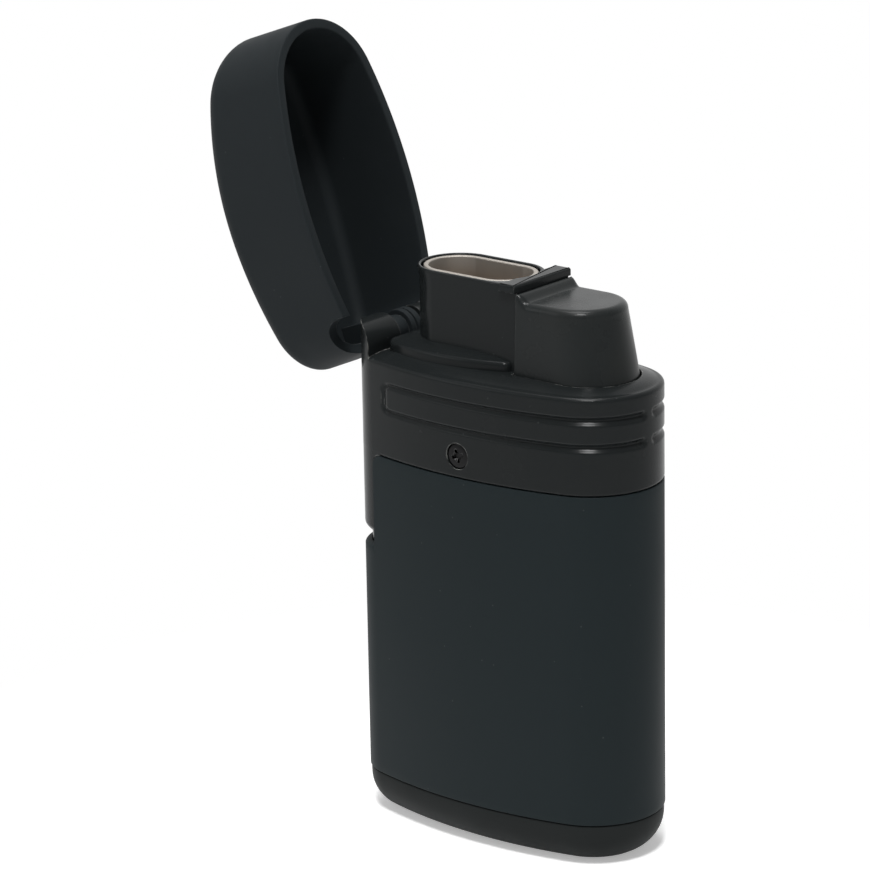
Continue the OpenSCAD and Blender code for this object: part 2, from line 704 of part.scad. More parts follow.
valve_step = 0.6;
valve_shoulder = 1.5;
valve_foot = 5;
stem_bore = 3;
stem_foot = 2.8;
valve_jet_r = 0.5;
stem_flange_r = 2;
stem_tip_r = 0.65;
module valve_body() color("#b5913f") translate([jet_mid, 0, 0]) difference() {
    union() {
        rod(valve_r, tank_top_z - valve_shoulder, valve_top_z);
        rod(valve_r - valve_step, tank_top_z - valve_foot, tank_top_z);
    }
    rod(stem_r + run, tank_top_z - stem_bore, far);
    rod(valve_jet_r, 0, far);
}

module valve_stem() color("#d0b060") translate([jet_mid, 0, 0]) {
    rod(stem_r, tank_top_z - stem_foot, stem_flange_z);
    rod(stem_flange_r, stem_flange_z, stem_flange_z + stem_flange_t);
    rod(stem_tip_r, stem_flange_z, stem_tip_z);
}

module valve_spring() color("#c7cacd") translate([jet_mid, 0, 0])
    coil(1.6, 0.35, stem_flange_z + stem_flange_t, manifold_z, 4, 12);

seal_r = 0.4;
module ring_seal(inner_r) {
    rotate_extrude() translate([inner_r + seal_r, 0]) circle(r = seal_r, $fn = 24);
}
module valve_seal() color("#151515") translate([jet_mid, 0, frame_z + frame_t + seal_r + eps])
    ring_seal(valve_r + eps);

module valve_lever() color("#b3b6ba") difference() {
    union() {
        translate([pivot_x, -fork_half, pivot_z]) rotate([-90, 0, 0]) cylinder(r = hub_r, h = 2 * fork_half);
        translate([pivot_x, -lever_half, pivot_z - lever_sink]) cube([lever_long, 2 * lever_half, lever_t]);
        for (s = [-1, 1]) translate([pivot_x - fork_len, s * fork_y - fork_t / 2, pivot_z - lever_sink / 2])
            cube([fork_len, fork_t, lever_t]);
    }
    translate([pivot_x, -far / 2, pivot_z]) rotate([-90, 0, 0]) cylinder(d = lever_pin_d + 2 * run, h = far);
}

module lever_pin() color("#b9bcc0") {
    reach = fork_half + free + ear_t;
    translate([pivot_x, -reach, pivot_z]) rotate([-90, 0, 0]) cylinder(d = lever_pin_d, h = 2 * reach);
}

tank_floor = tank_wall + 0.6;
spigot_t = 0.9;
boss_depth = 2.5;
module fuel_tank() color("#4a4d50") difference() {
    slab(tank_inset, tank_z, tank_h);
    slab(tank_inset + tank_wall, tank_z + tank_floor, tank_h);
    translate([fill_x, 0, 0]) rod(fill_r + eps, 0, tank_z + 2 * tank_floor);
    translate([adjust_x, 0, 0]) rod(adjust_shaft_r + run, 0, tank_z + 2 * tank_floor);
}

module tank_top() color("#515458") difference() {
    union() {
        slab(tank_inset, tank_top_z, tank_top_t);
        wall(tank_inset + tank_wall + nest, tank_inset + tank_wall + nest + spigot_t,
            tank_top_z - valve_shoulder, valve_shoulder + eps);
        translate([jet_mid, 0, 0]) rod(valve_r + tank_wall, tank_top_z - boss_depth, tank_top_z + eps);
    }
    translate([jet_mid, 0, 0]) rod(valve_r, tank_top_z - valve_shoulder, far);
    translate([jet_mid, 0, 0]) rod(valve_r - valve_step, 0, far);
}

fill_head_z = 0.8;
fill_seat_z = fill_head_z + 3;
fill_top_z = tank_z + 5;
fill_bore_r = 1.2;
fill_neck_r = 0.7;
fill_head_t = 2;
fill_sunk = 0.6;
module fill_valve_body() color("#b5913f") translate([fill_x, 0, 0]) difference() {
    rod(fill_r, fill_head_z, fill_top_z + 1);
    rod(fill_bore_r, fill_seat_z - nest, fill_top_z);
    rod(fill_neck_r + run, 0, fill_seat_z);
    rod(fill_neck_r / 2, 0, far);
}
module fill_valve_stem() color("#cfc9bb") translate([fill_x, 0, 0]) {
    rod(fill_bore_r - run, fill_seat_z, fill_seat_z + fill_head_t);
    rod(fill_neck_r, fill_head_z + fill_sunk, fill_seat_z + eps);
}
module fill_valve_spring() color("#c7cacd") translate([fill_x, 0, 0])
    coil(0.8, 0.3, fill_seat_z + fill_head_t, fill_top_z, 6, 12);
module fill_valve_seal() color("#151515") translate([fill_x, 0, base_floor + seal_r + eps])
    ring_seal(fill_r + eps);

adjust_head_z = 0.5;
adjust_head_h = 2.7;
adjust_shaft_r = 1.2;
adjust_slot_w = 0.7;
module adjuster_screw() color("#b99a4c") translate([adjust_x, 0, 0]) difference() {
    union() {
        rod(adjust_r, adjust_head_z, adjust_head_z + adjust_head_h);
        rod(adjust_shaft_r, adjust_head_z + adjust_head_h - eps, tank_z + 1);
    }
    translate([0, 0, adjust_head_z]) cube([adjust_slot_w, far, 2 * adjust_slot_w], center = true);
}
module adjuster_seal() color("#151515") translate([adjust_x, 0, tank_z - seal_r - eps])
    ring_seal(adjust_shaft_r + eps);

module skin_sleeve() color("#22292c") difference() {
    wall(0, skin_wall, base_h, skin_h);
    translate([-far + slot_x, -far / 2, seam_z - slot_depth]) cube([far, far, far]);
    translate([slot_x - eps, -far / 2, seam_z - slot_round]) difference() {
        cube([slot_round + eps, far, slot_round + 1]);
        translate([slot_round + eps, -1, 0]) rotate([-90, 0, 0]) cylinder(r = slot_round, h = far + 2);
    }
}

base_steps = 6;
base_root = 1.5;
floor_in = base_round * (1 - sqrt(1 - pow(1 - base_floor / base_round, 2)));
base_rings = concat(
    [for (i = [0 : base_steps]) let (a = 90 * i / base_steps)
        flat_ring(base_inset + base_round * (1 - sin(a)), base_round * (1 - cos(a)))],
    [flat_ring(base_inset, base_h - nest)]);
module base_cap() color("#272727") difference() {
    union() {
        loft(base_rings);
        slab(skin_wall + nest, base_h - base_root, base_lip_h + base_root);
    }
    slab(base_inset + floor_in + base_wall, base_floor, base_h - base_floor - base_root);
    slab(skin_wall + nest + skirt_t, base_h - base_root - eps, far);
    translate([fill_x, 0, 0]) rod(fill_r + nest, -1, base_h);
    translate([adjust_x, 0, 0]) rod(adjust_r + free, -1, base_h);
}

lid_shell();
hinge_pin();
hinge_spring();
head_collar();
collar_screws();
burner_shroud();
nozzle_sleeve();
jet_block();
jet_tubes();
jet_screens();
gas_manifold();
gas_tube();
electrode();
electrode_insulator();
ignition_lead();
thumb_button();
piezo_case();
piezo_plunger();
piezo_spring();
mech_frame();
valve_body();
valve_stem();
valve_spring();
valve_seal();
valve_lever();
lever_pin();
fuel_tank();
tank_top();
fill_valve_body();
fill_valve_stem();
fill_valve_spring();
fill_valve_seal();
adjuster_screw();
adjuster_seal();
skin_sleeve();
base_cap();
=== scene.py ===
"""Looks of a flip-top jet lighter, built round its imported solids.

Sizes in the classes are millimetres in the part's own frame: +Z up, +X to the nose under the thumb
button, origin under the middle of the base. The lid is built shut and then swung open.
"""

import json
import logging
import math
from dataclasses import dataclass
from enum import Enum
from typing import Optional, Sequence, Union

import bmesh
import bpy
import numpy as np
from mathutils import Matrix, Vector


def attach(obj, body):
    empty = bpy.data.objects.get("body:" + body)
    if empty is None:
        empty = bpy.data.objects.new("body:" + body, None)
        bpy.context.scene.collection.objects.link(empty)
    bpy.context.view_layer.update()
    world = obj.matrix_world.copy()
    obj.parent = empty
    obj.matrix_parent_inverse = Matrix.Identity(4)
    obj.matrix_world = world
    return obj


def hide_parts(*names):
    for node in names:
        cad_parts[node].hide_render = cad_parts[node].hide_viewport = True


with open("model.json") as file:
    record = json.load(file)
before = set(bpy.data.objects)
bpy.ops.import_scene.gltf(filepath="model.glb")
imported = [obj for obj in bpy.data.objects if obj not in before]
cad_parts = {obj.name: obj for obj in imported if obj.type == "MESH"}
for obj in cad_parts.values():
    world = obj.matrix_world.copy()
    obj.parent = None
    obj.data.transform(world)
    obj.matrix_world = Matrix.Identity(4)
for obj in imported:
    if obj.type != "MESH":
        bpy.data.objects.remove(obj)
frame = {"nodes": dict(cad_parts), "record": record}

MM = 0.001
DECK = 58.1  # height of the collar's deck
SEAM = 46.2  # height of the joint between sleeve and collar
SCREW_X, SCREW_Z = -0.7, 48.95  # place of the collar's screws
FAR = 30.0  # well past the body's sides
DUST = "#7d7f7e"
LOG = logging.getLogger("lighter")
Socket = bpy.types.NodeSocket
Tree = bpy.types.NodeTree
Node = bpy.types.Node
Solid = bpy.types.Object
Array = np.ndarray
Pair = tuple[float, float]
Pairs = tuple[Pair, ...]
Triple = tuple[float, float, float]
Rows = Sequence[Array]
Value = Union[float, Array]


class Cut(Enum):
    """How one solid changes another."""

    TAKE = "DIFFERENCE"
    ADD = "UNION"
    KEEP = "INTERSECT"


class Body(Enum):
    """The moving bodies that new pieces ride on."""

    BODY = "body"
    LID = "lid"
    BUTTON = "button"


def linear(code: str) -> tuple[float, float, float, float]:
    """Turns an sRGB hex colour, such as "#1d2224", to linear RGBA."""
    parts = [int(code[i:i + 2], 16) / 255 for i in (1, 3, 5)]
    red, green, blue = (c / 12.92 if c <= 0.04045 else ((c + 0.055) / 1.055) ** 2.4 for c in parts)
    return red, green, blue, 1.0


def add(tree: Tree, kind: str, links: Optional[dict] = None, **settings: object) -> Node:
    """Adds a shader node, sets it and links it.

    Args:
        tree: the material's node tree.
        kind: node type without its ShaderNode prefix.
        links: input name or index to a value or to another node's output.
        settings: properties of the node itself.
    Returns:
        The new node.
    """
    node = tree.nodes.new("ShaderNode" + kind)
    for key, value in settings.items():
        setattr(node, key, value)
    for key, value in (links or {}).items():
        if isinstance(value, Socket):
            tree.links.new(value, node.inputs[key])
        else:
            node.inputs[key].default_value = value
    return node


def blank(owner: bpy.types.ID) -> Tree:
    """Empties the node tree of a material or world and returns it."""
    owner.use_nodes = True
    owner.node_tree.nodes.clear()
    return owner.node_tree


def spread(tree: Tree, value: Socket, span: Pair, to: Pair = (0.0, 1.0)) -> Socket:
    """Maps a value from one span to another, held at the ends."""
    return add(tree, "MapRange", {"Value": value, "From Min": span[0], "From Max": span[1],
                                  "To Min": to[0], "To Max": to[1]}).outputs[0]


def blend(tree: Tree, share: Socket, first: object, second: object) -> Socket:
    """Mixes two colours, each a value or an output."""
    return add(tree, "Mix", {0: share, 6: first, 7: second}, data_type="RGBA").outputs[2]


def per_mm(size: float) -> float:
    """Noise scale whose features measure about this many millimetres."""
    return 1.0 / (size * MM)


@dataclass(frozen=True)
class Finish:
    """A moulded, coated, turned or drawn surface with its grain, mottle and pale edges, rubbed and partly a painted
    highlight.
    """

    name: str
    colour: str
    tint: str
    worn_and_glint: str
    rough: float = 0.5
    rough_spread: float = 0.08
    metallic: float = 0.0
    ior: float = 1.5
    specular: float = 0.5
    grain_mm: float = 0.3
    grain_lift_mm: float = 0.004
    stretch: Triple = (1.0, 1.0, 1.0)
    mottle_mm: float = 7.0
    edge_mm: float = 0.12
    wear_and_glint: float = 0.35
    scuff_and_glint_mm: float = 1.1
    dust: float = 0.0
    dust_mm: float = 2.4

    def build(self) -> bpy.types.Material:
        """Makes the material and returns it."""
        material = bpy.data.materials.new(self.name)
        tree = blank(material)
        place = add(tree, "TexCoord").outputs["Object"]
        along = add(tree, "Mapping", {"Vector": place, "Scale": self.stretch}).outputs[0]
        grain = add(tree, "TexNoise", {"Vector": along, "Scale": per_mm(self.grain_mm), "Detail": 3.0})
        mottle = add(tree, "TexNoise", {"Vector": place, "Scale": per_mm(self.mottle_mm), "Detail": 4.0})
        soft = add(tree, "Bevel", {"Radius": self.edge_mm * MM}, samples=6).outputs[0]
        colour = self.rubbed_and_glinting(tree, soft, mottle, place)
        rough = spread(tree, mottle.outputs[0], (0.3, 0.7),
                       (self.rough - self.rough_spread, self.rough + self.rough_spread))
        bump = add(tree, "Bump", {
            "Height": grain.outputs[0], "Distance": self.grain_lift_mm * MM, "Strength": 1.0, "Normal": soft})
        shader = add(tree, "BsdfPrincipled", {
            "Base Color": colour, "Roughness": rough, "Normal": bump.outputs[0], "Metallic": self.metallic})
        if not self.metallic:
            shader.inputs["IOR"].default_value = self.ior
            shader.inputs["Specular IOR Level"].default_value = self.specular
        add(tree, "OutputMaterial", {"Surface": shader.outputs[0]})
        return material

    def rubbed_and_glinting(self, tree: Tree, soft: Socket, mottle: Node, place: Socket) -> Socket:
        """Colour with mottle, pale edges that stand for rubbing by handling and partly for a painted highlight on
        the fillets, and a little dust.

        Args:
            tree: node tree to add to.
            soft: normal rounded over the edges.
            mottle: broad noise.
            place: coordinates in the part's frame.
        Returns:
            The colour output.
        """
        ground = blend(tree, mottle.outputs[0], linear(self.colour), linear(self.tint))
        flat = add(tree, "NewGeometry").outputs["Normal"]
        facing = add(tree, "VectorMath", {0: soft, 1: flat}, operation="DOT_PRODUCT").outputs["Value"]
        # Pale colour on edges and corners: rubbed wear, and partly a painted highlight standing for the gleam on
        # small fillets.
        edge = spread(tree, facing, (0.985, 0.88))
        scuff_and_glint = add(tree, "TexNoise", {"Vector": place, "Scale": per_mm(self.scuff_and_glint_mm), "Detail": 5.0}).outputs[0]
        patch = spread(tree, scuff_and_glint, (0.42, 0.68), (0.0, self.wear_and_glint))
        worn_and_glint = add(tree, "Math", {0: edge, 1: patch}, operation="MULTIPLY").outputs[0]
        colour = blend(tree, worn_and_glint, ground, linear(self.worn_and_glint))
        if not self.dust:
            return colour
        cells = add(tree, "TexVoronoi", {"Vector": place, "Scale": per_mm(self.dust_mm)})
        speck = spread(tree, cells.outputs["Distance"], (0.05, 0.02), (0.0, self.dust))
        return blend(tree, speck, colour, linear(DUST))


@dataclass(frozen=True)
class HeatStain(Finish):
    """Drawn steel that flames have tinted: bright rubbed rim, straw and brown further in."""

    rim_z: float = 69.0
    depth_mm: float = 2.6
    wander_mm: float = 0.9
    amount: float = 0.85
    stain: str = "#a3968a"

    def rubbed_and_glinting(self, tree: Tree, soft: Socket, mottle: Node, place: Socket) -> Socket:
        """Adds the stain below the rim to the rubbed steel, and returns the colour output."""
        steel = super().rubbed_and_glinting(tree, soft, mottle, place)
        height = add(tree, "SeparateXYZ", {0: place}).outputs["Z"]
        wander = add(tree, "Math", {0: mottle.outputs[0], 1: self.wander_mm * MM}, operation="MULTIPLY").outputs[0]
        level = add(tree, "Math", {0: height, 1: wander}, operation="ADD").outputs[0]
        depth = spread(tree, level, (self.rim_z * MM, (self.rim_z - self.depth_mm) * MM), (0.0, self.amount))
        return blend(tree, depth, steel, linear(self.stain))


# Black ABS from a spark-eroded mould: satin sheen on every curve, edges rubbed grey; the pale grey on the edges is
# partly a painted highlight.
ABS_BLACK = Finish("abs_moulded_black", "#181b1c", "#1c1e1e", "#b4b4b0", rough=0.24, rough_spread=0.05,
                   specular=0.11, grain_lift_mm=0.003, edge_mm=0.2, wear_and_glint=0.5, dust=0.12)
# The same ABS in the base cap, dulled by standing and sliding on tables.
ABS_DULL = Finish("abs_moulded_dull", "#1e2121", "#222424", "#454745", rough=0.55, specular=0.06, dust=0.1)
# The same ABS in the lid, duller and cooler.
ABS_LID = Finish("abs_moulded_lid", "#1d2123", "#202426", "#6a6d6d", rough=0.6, specular=0.08, wear_and_glint=0.45, dust=0.1)
# ABS that thumbs have polished: tighter highlights and pale worn corners, partly a painted highlight on the
# corners.
ABS_POLISHED = Finish("abs_thumb_polished", "#1b1f20", "#222322", "#bdbab3", rough=0.29, specular=0.14,
                      grain_lift_mm=0.003, edge_mm=0.2, wear_and_glint=0.6)
# Soft-touch lacquer sprayed on the sleeve: blue-black, very fine and even.
SOFT_COAT = Finish("soft_touch_lacquer", "#192022", "#1c2325", "#3a4143", rough=0.56, rough_spread=0.03,
                   specular=0.09, grain_mm=0.16, grain_lift_mm=0.002, mottle_mm=14.0, wear_and_glint=0.1, dust=0.15)
# Steel screw blackened in hot oxide: dark, slightly oily metal; its pale rubbed edges are partly a painted
# highlight on the head's rim.
BLACK_OXIDE = Finish("steel_black_oxide", "#2a2a2b", "#232323", "#8a8a8a", rough=0.36, metallic=1.0, wear_and_glint=0.8,
                     grain_mm=0.2)
# Deep-drawn stainless steel round the flames.
BURNT_STEEL = HeatStain("steel_drawn_heat_stained", "#b3aea7", "#9c968f", "#d8d6d2", rough=0.62,
                        metallic=1.0, grain_mm=0.18, stretch=(1.0, 1.0, 0.12), wear_and_glint=0.8)
# Cold-drawn spring wire: bright, with fine lines along the draw.
SPRING_WIRE = Finish("spring_wire_drawn", "#b4b6b8", "#9da0a3", "#dcdcdc", rough=0.28, metallic=1.0, grain_mm=0.1)
# Ground steel pins and the pressed lever.
GROUND_STEEL = Finish("steel_ground", "#aeb0b2", "#989b9e", "#dadada", rough=0.3, metallic=1.0, grain_mm=0.12,
                      stretch=(1.0, 0.2, 1.0))
# Brass turned on an automatic lathe: rings of fine tool marks.
TURNED_BRASS = Finish("brass_turned", "#b08a46", "#9a7638", "#dcbf7c", rough=0.3, metallic=1.0, grain_mm=0.14,
                      stretch=(0.2, 0.2, 1.0))
# Glazed alumina round the electrode.
ALUMINA = Finish("alumina_glazed", "#e6e0d2", "#dcd4c4", "#f2efe8", rough=0.2, ior=1.7, grain_mm=0.5)
# Moulded nitrile rings: dull black rubber.
NITRILE = Finish("nitrile_moulded", "#141414", "#1a1a1a", "#2a2a2a", rough=0.7, specular=0.3, grain_mm=0.2)
# Silicone sleeve of the igniter's lead, extruded.
SILICONE = Finish("silicone_extruded_red", "#7d1a17", "#8f2420", "#a6423c", rough=0.45, grain_mm=0.25)
# Smoke-grey nylon of the gas tank.
NYLON_SMOKE = Finish("nylon_moulded_smoke", "#1f2123", "#26282a", "#4c4f51", rough=0.45, specular=0.3, grain_mm=0.4)
# Grey PBT of the igniter's case and the frame.
PBT_GREY = Finish("pbt_moulded_grey", "#2f3135", "#27292c", "#5a5c60", rough=0.5, grain_mm=0.25)
# White acetal of plungers and tubes.
ACETAL = Finish("acetal_moulded_white", "#dedbd0", "#d2cec2", "#efece4", rough=0.35, grain_mm=0.35)

SLOT_FINISH: dict[str, Finish] = {
    "lid_black": ABS_LID, "collar_black": ABS_BLACK, "skin_black": SOFT_COAT, "button_black": ABS_POLISHED,
    "screw_black": BLACK_OXIDE, "burner_steel": BURNT_STEEL, "spring_steel": SPRING_WIRE,
    "pin_steel": GROUND_STEEL, "turned_brass": TURNED_BRASS, "ceramic_white": ALUMINA,
    "seal_rubber": NITRILE, "lead_red": SILICONE, "tank_grey": NYLON_SMOKE, "igniter_grey": PBT_GREY,
    "plunger_white": ACETAL,
}


@dataclass(frozen=True)
class Contour:
    """A closed line in plan: points, unit normals pointing in, the run along each half, steps of a flat end."""

    points: Array
    inward: Array
    run: Array
    flat: int = 0

    def at(self, inset: Value, z: Value) -> Array:
        """Rows of x, y, z set in from the line, at a height: one value of each, or one for each point."""
        step, height = (np.broadcast_to(np.asarray(v, float), len(self.points))[:, None] for v in (inset, z))
        return np.hstack([self.points + step * self.inward, height])

    def along(self, profile: Sequence[Pair], z: float = 0.0, inset: Value = 0.0) -> list[Array]:
        """Rows through a profile of insets and rises, which count from an inset and a height."""
        return [self.at(inset + more, z + rise) for more, rise in profile]


def mirrored(parts: Sequence[tuple[list, list]], flat: int = 0) -> Contour:
    """Closes a half line, from the +X axis round the back to the -X axis, with its mirror image.

    Args:
        parts: points and inward normals of its stretches in order; both ends lie on the X axis.
        flat: steps at the end of the half line that lie on a flat end.
    Returns:
        The closed contour, where point i mirrors point -i.
    """
    half, norm = (np.array(sum((part[k] for part in parts), []), float) for k in (0, 1))
    run = np.concatenate([[0.0], np.cumsum(np.linalg.norm(np.diff(half, axis=0), axis=1))])
    flip = np.array([1.0, -1.0])
    back = slice(len(half) - 2, 0, -1)
    return Contour(np.vstack([half, half[back] * flip]), np.vstack([norm, norm[back] * flip]),
                   np.concatenate([run, run[back]]), flat)


def arc(centre: Pair, radius: float, start: float, stop: float, count: int) -> tuple[list, list]:
    """Points and inward normals on an arc, angles in degrees, without its last point."""
    angles = [math.radians(start + (stop - start) * i / count) for i in range(count)]
    points = [(centre[0] + radius * math.cos(a), centre[1] + radius * math.sin(a)) for a in angles]
    return points, [(-math.cos(a), -math.sin(a)) for a in angles]


def straight(points: list[Pair], normal: Pair) -> tuple[list, list]:
    """Points of a straight stretch with their one inward normal."""
    return points, [normal] * len(points)


@dataclass(frozen=True)
class Plan:
    """Plan of the body: a nose arc, two belly arcs, two corner arcs and a flat hinge end."""

    length: float = 39.8
    thick: float = 20.399
    nose_r: float = 8.6
    belly_x: float = -1.1
    end_r: float = 6.2

    @property
    def half(self) -> float:
        """Half the length."""
        return self.length / 2

    @property
    def nose_x(self) -> float:
        """Centre of the nose arc."""
        return self.half - self.nose_r

    @property
    def side_r(self) -> float:
        """Radius of the belly arcs."""
        reach = self.nose_x - self.belly_x
        return (reach ** 2 + self.thick ** 2 / 4 - self.nose_r ** 2) / (self.thick - 2 * self.nose_r)

    def outline(self) -> Contour:
        """The closed outline, from the nose round the back to the hinge end and home along the front."""
        side_y = self.side_r - self.thick / 2
        end_x = self.end_r - self.half
        end_y = math.sqrt((self.side_r - self.end_r) ** 2 - (end_x - self.belly_x) ** 2) - side_y
        nose_a = math.degrees(math.atan2(side_y, self.nose_x - self.belly_x))
        end_a = math.degrees(math.atan2(end_y + side_y, end_x - self.belly_x))
        flat = 8
        end = [(-self.half, end_y * (1 - i / flat)) for i in range(flat + 1)]
        return mirrored([
            arc((self.nose_x, 0), self.nose_r, 0, nose_a, 46),
            arc((self.belly_x, -side_y), self.side_r, nose_a, end_a, 90),
            arc((end_x, end_y), self.end_r, end_a, 180, 30), straight(end, (1.0, 0.0))], flat)


PLAN = Plan()
OUTLINE = PLAN.outline()


def piece(name: str, points: Array, faces: list) -> Solid:
    """Makes a mesh object from points in millimetres, faces turned outward.

    Args:
        name: object name.
        points: rows of x, y, z.
        faces: lists of point numbers.
    Returns:
        The object, linked to the scene.
    """
    mesh = bpy.data.meshes.new(name)
    mesh.from_pydata((np.asarray(points) * MM).tolist(), [], faces)
    form = bmesh.new()
    form.from_mesh(mesh)
    bmesh.ops.remove_doubles(form, verts=form.verts, dist=1e-7)
    bmesh.ops.recalc_face_normals(form, faces=form.faces)
    form.to_mesh(mesh)
    form.free()
    made = bpy.data.objects.new(name, mesh)
    bpy.context.scene.collection.objects.link(made)
    return made


def strips(rows: Rows, loop: bool = False) -> tuple[Array, list]:
    """Points and side faces through a stack of closed rows; a loop also joins the last to the first."""
    count, faces = len(rows[0]), []
    last = len(rows) if loop else len(rows) - 1
    for j in range(last):
        low, high = j * count, (j + 1) % len(rows) * count
        for i in range(count):
            k = (i + 1) % count
            faces.append((low + i, low + k, high + k, high + i))
    return np.vstack(rows), faces


def bridged(row: Array, first: int, start: int, flat: int) -> tuple[Array, list]:
    """Closes a mirrored row with a grid from each point to its mirror image.

    Args:
        row: the row to close.
        first: number of its first point.
        start: number that the next new point gets.
        flat: steps of the row's flat end on each half; the grid's last line is that end.
    Returns:
        New points and faces.
    """
    count = len(row)
    last, across = count // 2 - flat, 2 * flat
    lines, extra = [[first]], []
    for i in range(1, last):
        line = [first + i]
        for step in range(1, across):
            extra.append(row[i] + (row[count - i] - row[i]) * step / across)
            line.append(start + len(extra) - 1)
        lines.append(line + [first + count - i])
    lines.append([first + last + k for k in range(across + 1)])
    faces = [(lines[0][0], lines[1][k + 1], lines[1][k]) for k in range(across)]
    for a, b in zip(lines[1:], lines[2:]):
        faces += [(a[k], a[k + 1], b[k + 1], b[k]) for k in range(across)]
    return np.array(extra), faces


def lofted(name: str, rows: Rows, flat: int) -> Solid:
    """A closed solid through mirrored rows, both ends closed by grids up to their flat end."""
    points, faces = strips(rows)
    for row, first in ((rows[0], 0), (rows[-1], len(points) - len(rows[-1]))):
        extra, more = bridged(row, first, len(points), flat)
        points = np.vstack([points, extra])
        faces += more
    return piece(name, points, faces)


def capped(name: str, rows: Rows) -> Solid:
    """A closed solid through a stack of rows, each end closed by one face."""
    points, faces = strips(rows)
    count = len(rows[0])
    return piece(name, points, faces + [list(range(count)), list(range(len(points) - count, len(points)))])


def tubed(name: str, rows: Rows) -> Solid:
    """A closed wall through rows, the last joined to the first."""
    return piece(name, *strips(rows, loop=True))


def post(contour: Contour, inset: float, low: float, high: float) -> Solid:
    """A straight-sided solid on a contour, used for cutting."""
    return capped("post", contour.along([(inset, low), (inset, high)]))


def ring(radius: float, z: float, count: int) -> Array:
    """Points round a circle about Z."""
    turn = np.arange(count) * 2 * math.pi / count
    return np.stack([radius * np.cos(turn), radius * np.sin(turn), np.full(count, z)], axis=1)


def lathed(name: str, profile: Sequence[Pair], count: int) -> Solid:
    """A turned piece about Z from radius and height pairs that start and end on the axis."""
    return piece(name, *strips([ring(radius, z, count) for radius, z in profile]))


def boxed(low: Triple, high: Triple) -> Solid:
    """A block between two corners, used for cutting."""
    (x0, y0, z0), (x1, y1, z1) = low, high
    points = [(x, y, z) for z in (z0, z1) for x, y in ((x0, y0), (x1, y0), (x1, y1), (x0, y1))]
    faces = [(0, 1, 2, 3), (4, 5, 6, 7), (0, 1, 5, 4), (1, 2, 6, 5), (2, 3, 7, 6), (3, 0, 4, 7)]
    return piece("block", np.array(points), faces)


def barrel(name: str, radius: float, start: Triple, axis: str, length: float,
           edge: float = 0.0) -> Solid:
    """A round bar along Y or Z with softened ends.

    Args:
        name: object name.
        radius: its radius.
        start: middle of its first end.
        axis: "Y" or "Z".
        length: its length.
        edge: radius of its two end edges.
    Returns:
        The bar.
    """
    foot = [(radius - t, rise) for t, rise in (foot_round(edge, 6) if edge else [(0.0, 0.0)])]
    made = lathed(name, [(0, 0)] + foot + [(r, length - z) for r, z in reversed(foot)] + [(0, length)], 96)
    if axis == "Y":
        made.data.transform(Matrix.Rotation(-math.pi / 2, 4, "X"))
    made.data.transform(Matrix.Translation(Vector(start) * MM))
    return made


def carve(target: Solid, tool: Solid, how: Cut = Cut.TAKE) -> None:
    """Takes from, adds to or trims a solid with another one, which is used up."""
    change = target.modifiers.new("carve", "BOOLEAN")
    change.operation, change.object, change.solver = how.value, tool, "MANIFOLD"
    bpy.context.view_layer.update()
    graph = bpy.context.evaluated_depsgraph_get()
    mesh = bpy.data.meshes.new_from_object(target.evaluated_get(graph))
    target.modifiers.clear()
    spent = target.data
    target.data = mesh
    bpy.data.meshes.remove(spent)
    bpy.data.meshes.remove(tool.data)


def shade(made: Solid, angle: float = 34.0) -> None:
    """Smooths a piece, with edges sharper than the angle kept."""
    made.data.polygons.foreach_set("use_smooth", [True] * len(made.data.polygons))
    made.data.set_sharp_from_angle(angle=math.radians(angle))
    even = made.modifiers.new("even", "WEIGHTED_NORMAL")
    even.keep_sharp = True
    even.weight = 60


def place(made: Solid, slot: str, *nodes: str, body: Body = Body.BODY, finish: Optional[Finish] = None) -> None:
    """Puts a finished piece on its body, with its finish and the nodes it stands for.

    Args:
        made: the piece.
        slot: the record's material slot.
        nodes: solids that it replaces.
        body: body that it rides on.
        finish: a finish of its own, where the slot's is not meant.
    """
    shade(made)
    made.data.materials.clear()
    made.data.materials.append(finish_of(slot, finish))
    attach(made, body.value)
    if nodes:
        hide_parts(*nodes)
    LOG.info("%s: %d faces on %s", made.name, len(made.data.polygons), body.value)


def finish_of(slot: str, finish: Optional[Finish] = None) -> bpy.types.Material:
    """The material of a slot or of a piece's own finish, made once."""
    finish = finish or SLOT_FINISH[slot]
    return bpy.data.materials.get(finish.name) or finish.build()


def foot_round(radius: float, count: int = 4) -> list[Pair]:
    """Inset and rise along a quarter round that starts on the underside and ends at the side."""
    return [(radius - rise, inset) for inset, rise in fillet(radius, count)]


def fillet(radius: float, count: int) -> list[Pair]:
    """Inset and rise along a quarter round that starts at the side and ends on top."""
    turn = [math.radians(90 * i / count) for i in range(count + 1)]
    return [(radius * (1 - math.cos(a)), radius * math.sin(a)) for a in turn]


